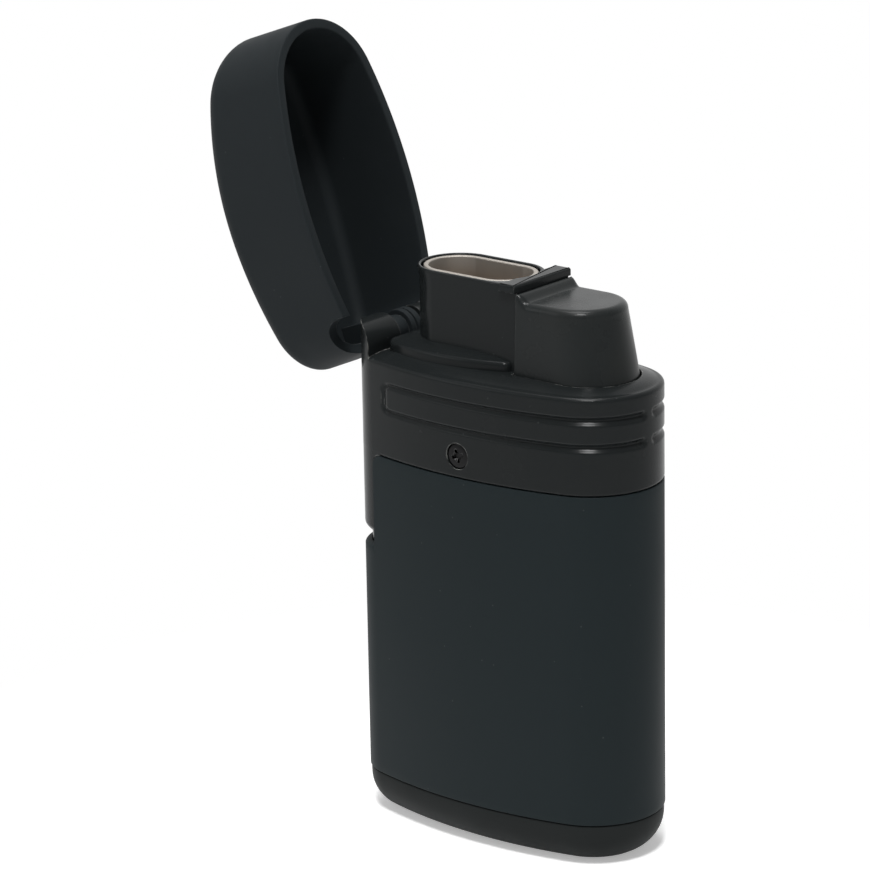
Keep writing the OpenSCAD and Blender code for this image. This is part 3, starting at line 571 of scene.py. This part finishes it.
@dataclass
class Hinge:
    """Axis, lugs and knuckle that join lid and collar."""

    x: float = -18.9
    z: float = 59.0
    opened: float = 109.2
    lug_x: float = -18.45
    lug_z: float = 59.2
    lug_r: float = 2.65
    lug_end: float = -2.05
    lug_edge: float = 0.12
    notch_r: float = 3.4
    rear_r: float = 2.4
    well_half: float = 3.6
    knuckle_r: float = 1.8
    knuckle_y: float = -1.1
    knuckle_len: float = 4.4
    knuckle_edge: float = 0.25
    ring_y: Pair = (0.95, 2.05)
    ring_len: float = 0.85
    ring_r: float = 2.42
    ring_edge: float = 0.1
    pin_r: float = 0.65
    free: float = 0.3

    def swing(self) -> Matrix:
        """Turn that takes the shut lid to its open place."""
        to_axis = Matrix.Translation(Vector((self.x, 0, self.z)) * MM)
        return to_axis @ Matrix.Rotation(math.radians(-self.opened), 4, "Y") @ to_axis.inverted()

    def lug(self, middle: Pair, radius: float, span: Pair, foot: float) -> list[Solid]:
        """A lug's round head about an x and z, from one y to another, and the block under it down to a foot."""
        (x, z), (y0, y1) = middle, span
        return [barrel("head", radius, (x, y0, z), "Y", y1 - y0, self.lug_edge),
                boxed((x - 2 * radius, y0, foot), (x + radius, y1, z))]


HINGE = Hinge()


@dataclass
class Lid:
    """Moulded lid: upright sides, a heel that leans out over the hinge, a bowed crown and the knuckle."""

    foot: float = 58.35
    height: float = 14.26
    drop: float = 1.95
    wall: float = 1.2
    lean: float = 0.1
    heel: float = 2.45
    round_r: float = 2.65
    rim_edge: float = 0.18
    notch_drop: float = 2.0

    def rows(self, extra: float) -> list[Array]:
        """Rows of one face of the lid, from the rim up to the crown.

        Args:
            extra: distance in from the outer face.
        Returns:
            The rows, shut.
        """
        high, bend = self.height - extra, self.round_r - extra
        sign = 1.0 if extra == 0 else -1.0
        profile = [(extra + sign * inset, 0.0, 0.0, rise) for inset, rise in foot_round(self.rim_edge)]
        profile += [(extra + self.lean * s, s, 0.0, self.rim_edge * (1 - s)) for s in np.linspace(0.08, 1, 10)]
        profile += [(extra + self.lean + bend * t, 1.0, rise, 0.0) for t, rise in fillet(1.0, 14)[1:]]
        rows = []
        for inset, up, bow, lift in profile:
            row = OUTLINE.at(inset, 0.0)
            x = row[:, 0]
            crown = high - self.drop * (x / PLAN.half) ** 2
            z = up * (crown - bend) + bow * bend + lift
            row[:, 0] = x - self.heel * np.maximum(0, -x / PLAN.half) ** 2 * z / high
            row[:, 2] = self.foot + z
            rows.append(row)
        return rows

    def build(self) -> None:
        """Makes the shell and the knuckle, swings them open and dresses them."""
        outer, inner = self.rows(0.0), self.rows(self.wall)
        shell = lofted("moulded_lid", inner[::-1] + outer, OUTLINE.flat)
        below, wide = self.foot - self.notch_drop, PLAN.thick
        axis, back = (HINGE.x, HINGE.z), HINGE.well_half - HINGE.free
        for tool in (HINGE.lug(axis, HINGE.notch_r, (-wide, HINGE.knuckle_y), below)
                     + HINGE.lug(axis, HINGE.rear_r + HINGE.free / 3, (back, wide), below)):
            carve(shell, tool)
        knuckle = barrel("lid_knuckle", HINGE.knuckle_r, (HINGE.x, HINGE.knuckle_y, HINGE.z), "Y",
                         HINGE.knuckle_len, HINGE.knuckle_edge)
        web = boxed((-PLAN.length, HINGE.knuckle_y, HINGE.z), (
            HINGE.x + HINGE.knuckle_r, HINGE.knuckle_y + HINGE.knuckle_len, HINGE.z + self.height / 2))
        carve(web, lofted("web_trim", self.rows(self.wall / 2), OUTLINE.flat), Cut.KEEP)
        carve(knuckle, web, Cut.ADD)
        for y in HINGE.ring_y:
            ring = barrel("ring", HINGE.ring_r, (HINGE.x, y, HINGE.z), "Y", HINGE.ring_len, HINGE.ring_edge)
            carve(knuckle, ring, Cut.ADD)
        carve(knuckle, barrel("pin_bore", HINGE.pin_r, (HINGE.x, -wide, HINGE.z), "Y", 2 * wide))
        for made in (shell, knuckle):
            made.data.transform(HINGE.swing())
        place(shell, "lid_black", "lid_shell", body=Body.LID)
        place(knuckle, "lid_black", body=Body.LID)


@dataclass
class Collar:
    """Moulded head collar: grip grooves, gently domed deck, hinge lugs, tongue and screw seats."""

    wall: float = 1.3
    deck_t: float = 1.4
    foot_edge: float = 0.3
    deck_edge: float = 0.55
    dome: float = 0.68
    dome_span: Pair = (0.7, 3.2)
    dome_x: Pair = (-17.5, -12.5)
    groove_1: float = 2.75
    groove_2: float = 6.0
    groove_w: Pair = (1.5, 0.9)
    groove_d: Pair = (0.5, 0.28)
    groove_x: float = -12.9
    groove_web: float = 1.15
    groove_bend: float = 0.9
    groove_zone: Pair = (7.1, 1.6)
    lug_out: float = 12.0
    lug_deep: float = 3.0
    flush: float = 0.02
    button_room: float = 0.14
    seat_r: float = 1.58
    seat_y: float = 10.1
    seat_len: float = 1.0
    nest: float = 0.1
    tongue_len: float = 10.25
    tongue_wall: float = 1.6
    tongue_under: float = 0.3
    tongue_gap: float = 0.06
    tongue_up: float = 0.5
    sill_in: float = 0.9
    sill_z: Pair = (-1.8, 3.0)
    curl: Pairs = (
        (0.93, 0.0), (0.7, 0.1), (0.4, 0.3), (0.16, 0.6), (0.04, 0.85), (0.01, 1.1))

    def groove(self, z: float) -> Array:
        """Depth of the grip grooves at each point of the outline, at one height.

        The two grooves run from a scooped end near the nose to a round bend that joins them.
        """
        half, run = len(OUTLINE.points) // 2, OUTLINE.run
        stop = float(np.interp(-self.groove_x, -OUTLINE.points[20:half, 0], run[20:half]))
        high, low = DECK - self.groove_1, DECK - self.groove_2
        mid, tall = (high + low) / 2, (high - low) / 2
        dx = run - (stop - self.groove_bend)
        dz = abs(z - mid) - (tall - self.groove_bend)
        outside = np.hypot(np.maximum(dx, 0), max(dz, 0.0))
        away = np.abs(outside + np.minimum(np.maximum(dx, dz), 0) - self.groove_bend)
        scoop = np.hypot(self.groove_web - run, min(abs(z - high), abs(z - low)))
        away = np.where(run < self.groove_web, scoop, away)
        along = np.clip(run / stop, 0, 1)
        width, depth = (np.interp(along, (0, 1), ends) for ends in (self.groove_w, self.groove_d))
        return depth * (0.5 + 0.5 * np.cos(np.pi * np.minimum(1, 2 * away / width)))

    def shell(self) -> Solid:
        """The collar's outside with its grooves, with rows set close where these are."""
        foot = SEAM + self.nest
        low, high = (DECK - drop for drop in self.groove_zone)
        levels = np.concatenate([
            np.linspace(foot + self.foot_edge + 0.2, low - 0.1, 8), np.linspace(low, high, 58),
            np.linspace(high + 0.1, DECK - self.deck_edge - 0.1, 4)])
        rows = OUTLINE.along(foot_round(self.foot_edge), foot)
        rows += [OUTLINE.at(self.groove(float(z)), z) for z in levels]
        rows += OUTLINE.along(fillet(self.deck_edge, 7), DECK - self.deck_edge)
        (start, stop), (x0, x1) = self.dome_span, self.dome_x
        for share in np.linspace(0, 1, 10):
            row = OUTLINE.at(start + (stop - start) * share, DECK)
            fade = np.clip((row[:, 0] - x0) / (x1 - x0), 0, 1)
            row[:, 2] += self.dome * math.sin(share * math.pi / 2) * fade * fade * (3 - 2 * fade)
            rows.append(row)
        return lofted("moulded_collar", rows, OUTLINE.flat)

    def build(self, sleeve: "Sleeve", burner: "Burner", button: "Button") -> None:
        """Makes the collar, with room for burner and button, and dresses it.

        Args:
            sleeve: gives the slot that the tongue fills.
            burner: gives the burner's opening.
            button: gives the button's opening.
        """
        collar = self.shell()
        carve(collar, post(OUTLINE, self.wall, SEAM - 1, DECK - self.deck_t))
        lugs = (((HINGE.lug_x, HINGE.lug_z), HINGE.lug_r, (-self.lug_out, HINGE.lug_end)),
                ((HINGE.x, HINGE.z), HINGE.rear_r, (HINGE.well_half, self.lug_out)))
        for middle, radius, span in lugs:
            for tool in HINGE.lug(middle, radius, span, DECK - self.lug_deep):
                carve(tool, post(OUTLINE, self.flush, DECK - 9, DECK + 9), Cut.KEEP)
                carve(collar, tool, Cut.ADD)
        carve(collar, self.tongue(sleeve), Cut.ADD)
        carve(collar, barrel("well", HINGE.ring_r + HINGE.free, (HINGE.x, HINGE.lug_end, HINGE.z), "Y",
                             HINGE.well_half - HINGE.lug_end))
        for room in (burner.stadium(burner.bore_r + self.nest),
                     button.contour(button.foot_r, button.nose_x, -self.button_room)):
            carve(collar, post(room, 0, DECK - FAR, DECK + 5))
        for side in (-1, 1):
            start = (SCREW_X, side * self.seat_y - self.seat_len / 2, SCREW_Z)
            carve(collar, barrel("seat", self.seat_r, start, "Y", self.seat_len))
        place(collar, "collar_black", "head_collar")

    def tongue(self, sleeve: "Sleeve") -> Solid:
        """The tongue that fills the sleeve's slot at the hinge end, with a sill behind the notch below it."""
        low, high = SEAM - self.tongue_len, SEAM + self.tongue_up
        tongue = capped("tongue", OUTLINE.along(self.curl, low) + [OUTLINE.at(self.curl[-1][0], high)])
        carve(tongue, post(OUTLINE, self.sill_in, *(low + z for z in self.sill_z)), Cut.ADD)
        carve(tongue, post(OUTLINE, self.tongue_wall, low - 3, high + 1))
        carve(tongue, boxed((sleeve.slot_x + sleeve.slot_round, -FAR, 0), (2 * FAR, FAR, 3 * FAR)))
        rest = boxed((sleeve.slot_x + self.tongue_under, -FAR, 0), (50, FAR + 1, SEAM + self.tongue_gap))
        carve(rest, sleeve.corner(self.tongue_gap, FAR + 10))
        carve(tongue, rest)
        return tongue


@dataclass
class Screws:
    """Black cross-recessed screws that hold the collar."""

    y: float = 10.2
    sunk: float = 0.05
    turned: float = 18.0
    cross: Pair = (0.21, 0.85)
    cross_z: float = -0.4
    profile: Pairs = (
        (0, 0), (0.9, -0.01), (1.3, -0.05), (1.49, -0.11), (1.55, -0.18),
        (1.55, -0.45), (0.8, -0.47), (0.8, -3.7), (0.5, -3.85), (0, -3.85))
    dish: Pairs = ((0, -0.42), (0.25, -0.4), (0.62, 0.02), (0.62, 1), (0, 1))

    def build(self) -> None:
        """Makes both screws as one piece and dresses it."""
        both = None
        for side in (-1, 1):
            screw = lathed("screw", self.profile, 48)
            for across, along in (self.cross, self.cross[::-1]):
                carve(screw, boxed((-across, -along, self.cross_z), (across, along, 1)))
            carve(screw, lathed("dish", self.dish, 24))
            turn = Matrix.Rotation(math.radians(self.turned), 4, "Z")
            lay = Matrix.Rotation(math.radians(90 if side < 0 else -90), 4, "X")
            seat = Matrix.Translation(Vector((SCREW_X, side * (self.y - self.sunk), SCREW_Z)) * MM)
            screw.data.transform(seat @ lay @ turn)
            if both:
                carve(both, screw, Cut.ADD)
            else:
                both = screw
        both.name = "blackened_screws"
        place(both, "screw_black", "collar_screws")


@dataclass
class Burner:
    """Shroud with its ridge and foot ledge, and the steel nozzle inside it."""

    jet_1: float = -8.5
    jet_2: float = -1.5
    shroud_r: float = 4.9
    bore_r: float = 4.4
    height: float = 11.0
    ridge_x: Pair = (2.0, 4.32)
    ridge_half: float = 5.4
    ridge_up: float = 0.2
    ridge_soft: float = 0.1
    ridge_edge: float = 0.3
    ridge_back: float = 0.01
    weld: float = 0.05
    bar_h: float = 0.95
    rim_edge: float = 0.16
    lip_in: float = 0.38
    lip_rows: Pairs = ((1.0, 11.0), (1.0, 1.5), (0.8, 1.1), (0.4, 0.8), (0.25, 0.5))
    nozzle_r: float = 4.1
    nozzle_in: float = 3.5
    nozzle_top: float = 69.0
    nozzle_foot: float = 56.9
    nozzle_edge: float = 0.14
    ledge_mid: Pair = (-6.0, 7.3)
    ledge_bow: float = 25.0
    ledge_x: Pair = (-15.1, 3.4)
    ledge_tip: Pair = (1.8, 1.2)
    ledge_z: Triple = (58.2, 59.95, 60.55)
    ledge_soft: float = 0.55
    ledge_crown: float = 0.36

    def stadium(self, radius: float) -> Contour:
        """Slot with round ends about the two jets."""
        first, second, steps = self.jet_1, self.jet_2, 14
        side = [(second + (first - second) * i / steps, radius) for i in range(steps)]
        return mirrored([
            arc((second, 0), radius, 0, 90, 36), straight(side, (0.0, -1.0)),
            arc((first, 0), radius, 90, 180, 36), straight([(first - radius, 0.0)], (1.0, 0.0))])

    def jacket(self) -> Contour:
        """The shroud's outside: the slot's form, with its front corner carried square to the button."""
        base = self.stadium(self.shroud_r)
        points = base.points.copy()
        reach = self.ridge_x[1] - self.ridge_back - self.jet_2
        for i, normal in enumerate(base.inward):
            out_x, out_y = -normal
            if out_y < -1e-6 and out_x > 1e-6:
                share = 1.5 * math.atan2(out_x, -out_y) / (math.pi / 2)
                points[i] = (self.jet_2 + reach * min(1.0, share), -self.shroud_r * min(1.0, 3.0 - 2.0 * share))
        return Contour(points, base.inward, base.run)

    def build(self) -> None:
        """Makes shroud, ridge, ledge and nozzle, and dresses them."""
        top, edge = DECK + self.height, self.rim_edge
        outer, inner, bend = self.jacket(), self.stadium(self.bore_r), fillet(edge, 4)
        back = self.lip_in * np.maximum(0, outer.inward[:, 0])
        rows = [outer.at(share * back, top - drop) for share, drop in self.lip_rows]
        rows += outer.along(bend, top - edge, self.lip_rows[-1][0] * back)
        rows += [inner.at(-t, top - edge + rise) for t, rise in reversed(bend)] + [inner.at(0, DECK)]
        place(tubed("moulded_shroud", rows), "collar_black", "burner_shroud")
        self.ridge()
        self.ledge()
        foot, top, edge = self.nozzle_foot, self.nozzle_top, self.nozzle_edge
        outer, inner, bend = self.stadium(self.nozzle_r), self.stadium(self.nozzle_in), fillet(edge, 4)
        rows = [outer.at(0, foot)] + outer.along(bend, top - edge)
        rows += [inner.at(-t, top - edge + rise) for t, rise in reversed(bend)]
        rows += [inner.at(0, z) for z in (top - 3, top - 6, foot)]
        place(tubed("drawn_nozzle", rows), "burner_steel", "nozzle_sleeve")

    def ridge(self) -> None:
        """Makes the guard ridge between shroud and button: a bar on a stem as thick as the shroud."""
        (x0, x1), wide, soft, edge = self.ridge_x, self.ridge_half, self.ridge_soft, self.ridge_edge
        side = wide - soft
        line = mirrored([
            straight([(x1, 0.0)], (-1.0, 0.0)), arc((x1 - soft, side), soft, 0, 90, 6),
            arc((x0 + soft, side), soft, 90, 180, 6), straight([(x0, side), (x0, 0.0)], (1.0, 0.0))])
        hidden, top = self.shroud_r - self.weld, DECK + self.height + self.ridge_up
        rows = [line.at(0, DECK), line.at(0, top - self.bar_h)]
        for row in rows:
            row[:, 1] = np.clip(row[:, 1], -hidden, hidden)
        rows += [line.at(0, top - self.bar_h)] + line.along(fillet(edge, 5), top - edge)
        ridge = capped("guard_ridge", rows)
        carve(ridge, post(self.stadium(self.bore_r), 0, DECK - 1, top + 1))
        place(ridge, "collar_black")

    def ledge(self) -> None:
        """Makes the crowned step round the shroud's foot, bowed along its sides, round at its ends."""
        (mid, half), bow, (x0, x1), (r0, r1) = self.ledge_mid, self.ledge_bow, self.ledge_x, self.ledge_tip
        sunk = bow - half
        ends = []
        for x, r in ((x1 - r1, r1), (x0 + r0, r0)):
            y = math.sqrt((bow - r) ** 2 - (x - mid) ** 2) - sunk
            ends.append((x, y, math.degrees(math.atan2(y + sunk, x - mid))))
        (tip_x, tip_y, tip_a), (rear_x, rear_y, rear_a) = ends
        line = mirrored([
            straight([(x1, 0.0)], (-1.0, 0.0)), arc((tip_x, tip_y), r1, 0, tip_a, 14),
            arc((mid, -sunk), bow, tip_a, rear_a, 60), arc((rear_x, rear_y), r0, rear_a, 180, 16),
            straight([(x0, rear_y), (x0, 0.0)], (1.0, 0.0))])
        (foot, edge_z, crown_z), soft = self.ledge_z, self.ledge_soft
        rows = [line.at(0, foot), line.at(0, edge_z - soft)] + line.along(fillet(soft, 7)[1:], edge_z - soft)
        rim = rows[-1]
        for share in np.linspace(0.2, 1, 6):
            row = rim.copy()
            row[:, :2] = (rim[:, :2] - (mid, 0.0)) * (1 - self.ledge_crown * share) + (mid, 0.0)
            row[:, 2] = edge_z + (crown_z - edge_z) * math.sin(share * math.pi / 2)
            rows.append(row)
        step = capped("shroud_step", rows)
        carve(step, post(self.stadium(self.bore_r), 0, foot - 1, crown_z + 1))
        place(step, "collar_black")


@dataclass
class Button:
    """Drafted thumb button with a rounded top and a ramp against the ridge."""

    rear_x: float = 4.35
    nose_x: float = 11.3
    foot_r: float = 5.85
    top_r: float = 5.4
    lean: float = 1.2
    height: float = 9.3
    skirt: float = 6.4
    ramp_h: float = 0.9
    ramp_len: float = 1.7
    ramp_flat: float = 0.35
    ramp_fade: float = 2.6
    soft: float = 0.95
    soft_run: float = 1.2
    rear_soft: float = 0.25

    def contour(self, radius: float, nose: float, grow: float = 0.0) -> Contour:
        """Plan of the button: a round nose, straight sides and a flat rear.

        Args:
            radius: half width and nose radius.
            nose: centre of the nose.
            grow: taken off all round; below zero it is added.
        Returns:
            The contour.
        """
        radius, rear = radius - grow, self.rear_x + grow
        soft, steps = self.rear_soft, 20
        run = nose - rear - soft
        side = [(nose - run * i / steps, radius) for i in range(steps)]
        flat = [(rear, (radius - soft) * (1 - i / steps)) for i in range(steps + 1)]
        return mirrored([
            arc((nose, 0), radius, 0, 90, 48), straight(side, (0.0, -1.0)),
            arc((rear + soft, radius - soft), soft, 90, 180, 8), straight(flat, (1.0, 0.0))], steps)

    def ramp(self, x: Array) -> Array:
        """Rise of the ramp at each x."""
        fall = np.clip((x - self.rear_x - self.ramp_flat) / (self.ramp_len - self.ramp_flat), 0, 1)
        return self.ramp_h * (1 - fall * fall * (3 - 2 * fall))

    def build(self) -> None:
        """Makes the button and dresses it."""
        top = DECK + self.height
        skirt = self.contour(self.foot_r, self.nose_x)
        rows = [skirt.at(0.0, DECK - drop) for drop in (self.skirt, 3, 0.1)]
        neck = self.height - self.soft
        for s in np.linspace(0.03, 1, 16):
            radius = self.foot_r + (self.top_r - self.foot_r) * s
            rows.append(self.contour(radius, self.nose_x - self.lean * s).at(0.0, DECK + s * neck))
        crown = self.contour(self.top_r, self.nose_x - self.lean)
        rear = np.clip((crown.points[:, 0] - self.rear_x) / self.soft_run, 0, 1)
        soft = self.rear_soft + (self.soft - self.rear_soft) * rear
        rows += [crown.at(soft * t, top - soft * (1 - rise)) for t, rise in fillet(1.0, 10)[1:]]
        for row in rows:
            share = np.clip((row[:, 2] - top) / self.ramp_fade + 1, 0, 1)
            row[:, 2] += self.ramp(row[:, 0]) * share * share
        place(lofted("moulded_button", rows, crown.flat), "button_black", "thumb_button", body=Body.BUTTON)


@dataclass
class Sleeve:
    """Coated sleeve with its slot at the hinge end."""

    foot: float = 5.5
    wall: float = 0.8
    edge: float = 0.14
    slot_x: float = -15.35
    slot_depth: float = 11.6
    slot_round: float = 1.5
    curl: Pairs = (
        (0.0, -2.2), (0.0, -0.6), (0.06, -0.45), (0.2, -0.28), (0.45, -0.12), (0.78, 0.0), (0.78, 0.4))

    def corner(self, gap: float, reach: float) -> Solid:
        """Bar, a reach to each side, that fills the slot's upper corner outside its round and a gap."""
        x, r = self.slot_x, self.slot_round
        bar = boxed((x - 1, -reach, SEAM - r), (x + r, reach, SEAM + 1))
        carve(bar, barrel("bend", r + gap, (x + r, -reach - 10, SEAM - r), "Y", 2 * reach + 20))
        return bar

    def build(self) -> None:
        """Makes the sleeve and dresses it."""
        rows = OUTLINE.along(foot_round(self.edge, 3), self.foot)
        rows += [OUTLINE.at(0.0, z) for z in np.linspace(self.foot + 1, SEAM - 1, 24)]
        rows += OUTLINE.along(fillet(self.edge, 3), SEAM - self.edge)
        rows += [OUTLINE.at(self.wall, z) for z in (SEAM, self.foot)]
        sleeve = tubed("coated_sleeve", rows)
        low = SEAM - self.slot_depth
        carve(sleeve, boxed((-40, -FAR, low), (self.slot_x, FAR, 80)))
        rim = post(OUTLINE, -2.0, low - 2, low + 0.2)
        carve(rim, capped("curl", OUTLINE.along(self.curl, low)))
        carve(rim, boxed((self.slot_x, -40, 0), (60, 40, 90)))
        carve(sleeve, rim)
        carve(sleeve, self.corner(0.0, FAR))
        place(sleeve, "skin_black", "skin_sleeve")


@dataclass
class Base:
    """Base cap with a round lower edge and the two service holes."""

    height: float = 5.4
    inset: float = 0.15
    edge: float = 0.15
    round_r: float = 4.6
    floor: float = 1.4
    wall: float = 1.45
    lip: float = 0.9
    lip_top: float = 7.5
    step: Pair = (1.4, 1.5)
    fill: Pair = (6.0, 2.1)
    adjust: Pair = (-6.0, 2.7)

    def build(self) -> None:
        """Makes the cap and dresses it."""
        high, edge = self.height, self.edge
        rows = OUTLINE.along(foot_round(self.round_r, 14), 0.0, self.inset)
        rows += OUTLINE.along(fillet(edge, 3), high - edge, self.inset)
        rows += OUTLINE.along([
            (self.lip, high), (self.lip, self.lip_top), (2 * self.lip, self.lip_top),
            (2 * self.lip, high - self.step[0]), (2 * self.wall, high - self.step[1]), (2 * self.wall, self.floor)])
        cap = lofted("moulded_base", rows, OUTLINE.flat)
        for x, radius in (self.fill, self.adjust):
            carve(cap, barrel("hole", radius, (x, 0, -1), "Z", 4))
        place(cap, "collar_black", "base_cap", finish=ABS_DULL)


@dataclass
class Studio:
    """Pale floor, soft lamps and the camera at the photograph's angle."""

    azimuth: float = 39.675
    elevation: float = 16.631
    roll: float = -0.96
    spot: Triple = (0.30505, -0.37893, 0.19565)
    lens: float = 176.91
    shift: Pair = (-0.0238, -0.0094)
    fill: float = 0.26
    room: float = 0.3
    sweep: Pair = (-0.2, 0.75)
    veil: float = 0.36
    veil_m: Pair = (0.025, 0.085)
    floor_r: float = 1500.0
    floor_z: float = -0.02
    tooth_mm: float = 2.0
    paper: tuple[str, str] = ("#f7f7f7", "#fcfcfc")
    aim: Triple = (0.0, 0.0, 0.045)
    lamps: tuple[tuple[str, Triple, float, float], ...] = (
        ("key", (0.3, -0.46, 1.1), 0.24, 11.0),
        ("left", (-0.7, -0.8, 0.6), 0.5, 1.2),
        ("top", (-0.15, 0.05, 1.2), 0.5, 8.0))

    def camera(self) -> None:
        """Makes the camera."""
        turn, rise, roll = (math.radians(v) for v in (self.azimuth, self.elevation, self.roll))
        back = Vector((math.sin(turn) * math.cos(rise), -math.cos(turn) * math.cos(rise), math.sin(rise)))
        side = Vector((math.cos(turn), math.sin(turn), 0))
        up = back.cross(side)
        right = side * math.cos(roll) + up * math.sin(roll)
        above = up * math.cos(roll) - side * math.sin(roll)
        lens = bpy.data.cameras.new("camera")
        lens.sensor_width, lens.sensor_fit, lens.lens = 36.0, "HORIZONTAL", self.lens
        lens.shift_x, lens.shift_y = self.shift
        lens.clip_start, lens.clip_end = 0.01, 20.0
        made = bpy.data.objects.new("camera", lens)
        made.matrix_world = Matrix((right, above, back)).transposed().to_4x4()
        made.location = self.spot
        bpy.context.scene.collection.objects.link(made)
        bpy.context.scene.camera = made

    def lamp(self, name: str, spot: Triple, size: float, watts: float) -> None:
        """A square soft lamp that looks at the lighter; its place and side are in metres."""
        light = bpy.data.lights.new(name, "AREA")
        light.size, light.energy = size, watts
        made = bpy.data.objects.new(name, light)
        made.location = spot
        made.rotation_euler = (Vector(self.aim) - Vector(spot)).to_track_quat("-Z", "Y").to_euler()
        bpy.context.scene.collection.objects.link(made)

    @staticmethod
    def seen(tree: Tree) -> Socket:
        """One for rays from the camera, from gloss and through glass, nothing for light that falls on things."""
        path = add(tree, "LightPath").outputs
        first = add(tree, "Math", {0: path["Is Camera Ray"], 1: path["Is Glossy Ray"]}, operation="MAXIMUM")
        return add(tree, "Math", {0: first.outputs[0], 1: path["Is Transmission Ray"]},
                   operation="MAXIMUM").outputs[0]

    def world(self) -> None:
        """White for the camera; for gloss a white sweep behind the lighter and a dimmer room; a soft fill else."""
        world = bpy.data.worlds.new("studio")
        bpy.context.scene.world = world
        tree = blank(world)
        turn = math.radians(self.azimuth)
        ray = add(tree, "TexCoord").outputs["Generated"]
        behind = add(tree, "VectorMath", {0: ray, 1: (-math.sin(turn), math.cos(turn), 0.0)},
                     operation="DOT_PRODUCT").outputs["Value"]
        sweep = spread(tree, behind, self.sweep, (self.room, 1.0))
        sweep.node.interpolation_type = "SMOOTHSTEP"
        shown = add(tree, "Mix", {0: self.seen(tree), 2: self.fill, 3: sweep}).outputs[0]
        camera = add(tree, "LightPath").outputs["Is Camera Ray"]
        strength = add(tree, "Mix", {0: camera, 2: shown, 3: 1.0}).outputs[0]
        ground = add(tree, "Background", {"Color": (1, 1, 1, 1), "Strength": strength}).outputs[0]
        add(tree, "OutputWorld", {"Surface": ground})

    def floor(self) -> None:
        """A round pale floor: white to the camera and to reflections, with the lighter's own soft shadow."""
        made = piece("floor", ring(self.floor_r, self.floor_z, 96), [list(range(96))])
        material = bpy.data.materials.new("paper_white_matte")
        tree = blank(material)
        spot = add(tree, "TexCoord").outputs["Object"]
        away = add(tree, "VectorMath", {0: spot}, operation="LENGTH").outputs["Value"]
        fade = spread(tree, away, self.veil_m)
        tooth = add(tree, "TexNoise", {"Vector": spot, "Scale": per_mm(self.tooth_mm), "Detail": 3.0}).outputs[0]
        tone = blend(tree, tooth, *map(linear, self.paper))
        paper = add(tree, "BsdfDiffuse", {"Color": tone}).outputs[0]
        veil = add(tree, "Emission", {"Color": (1, 1, 1, 1), "Strength": self.veil}).outputs[0]
        near = add(tree, "AddShader", {0: paper, 1: veil}).outputs[0]
        glow = add(tree, "Emission", {"Color": (1, 1, 1, 1), "Strength": 1.0}).outputs[0]
        shown = add(tree, "MixShader", {0: fade, 1: near, 2: glow}).outputs[0]
        seen = self.seen(tree)
        add(tree, "OutputMaterial", {"Surface": add(tree, "MixShader", {0: seen, 1: paper, 2: shown}).outputs[0]})
        made.data.materials.append(material)

    def build(self) -> None:
        """Sets up camera, light and floor."""
        self.camera()
        self.world()
        self.floor()
        for lamp in self.lamps:
            self.lamp(*lamp)
        bpy.context.scene.view_settings.view_transform = "Standard"


def dress_solids() -> None:
    """Gives every carried-over solid the finish of its slot."""
    for row in frame["record"]["subparts"]:
        solid = frame["nodes"][row["node"]]
        solid.data.materials.clear()
        solid.data.materials.append(finish_of(row["material_slot"]))
        LOG.info("%s: %s", row["node"], row["material_slot"])


def main() -> None:
    """Builds the studio and every piece."""
    logging.basicConfig(level=logging.INFO, format="%(name)s: %(message)s")
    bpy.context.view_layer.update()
    Studio().build()
    dress_solids()
    sleeve, burner, button = Sleeve(), Burner(), Button()
    sleeve.build()
    Base().build()
    Collar().build(sleeve, burner, button)
    Screws().build()
    burner.build()
    button.build()
    Lid().build()


if __name__ == "__main__":
    main()
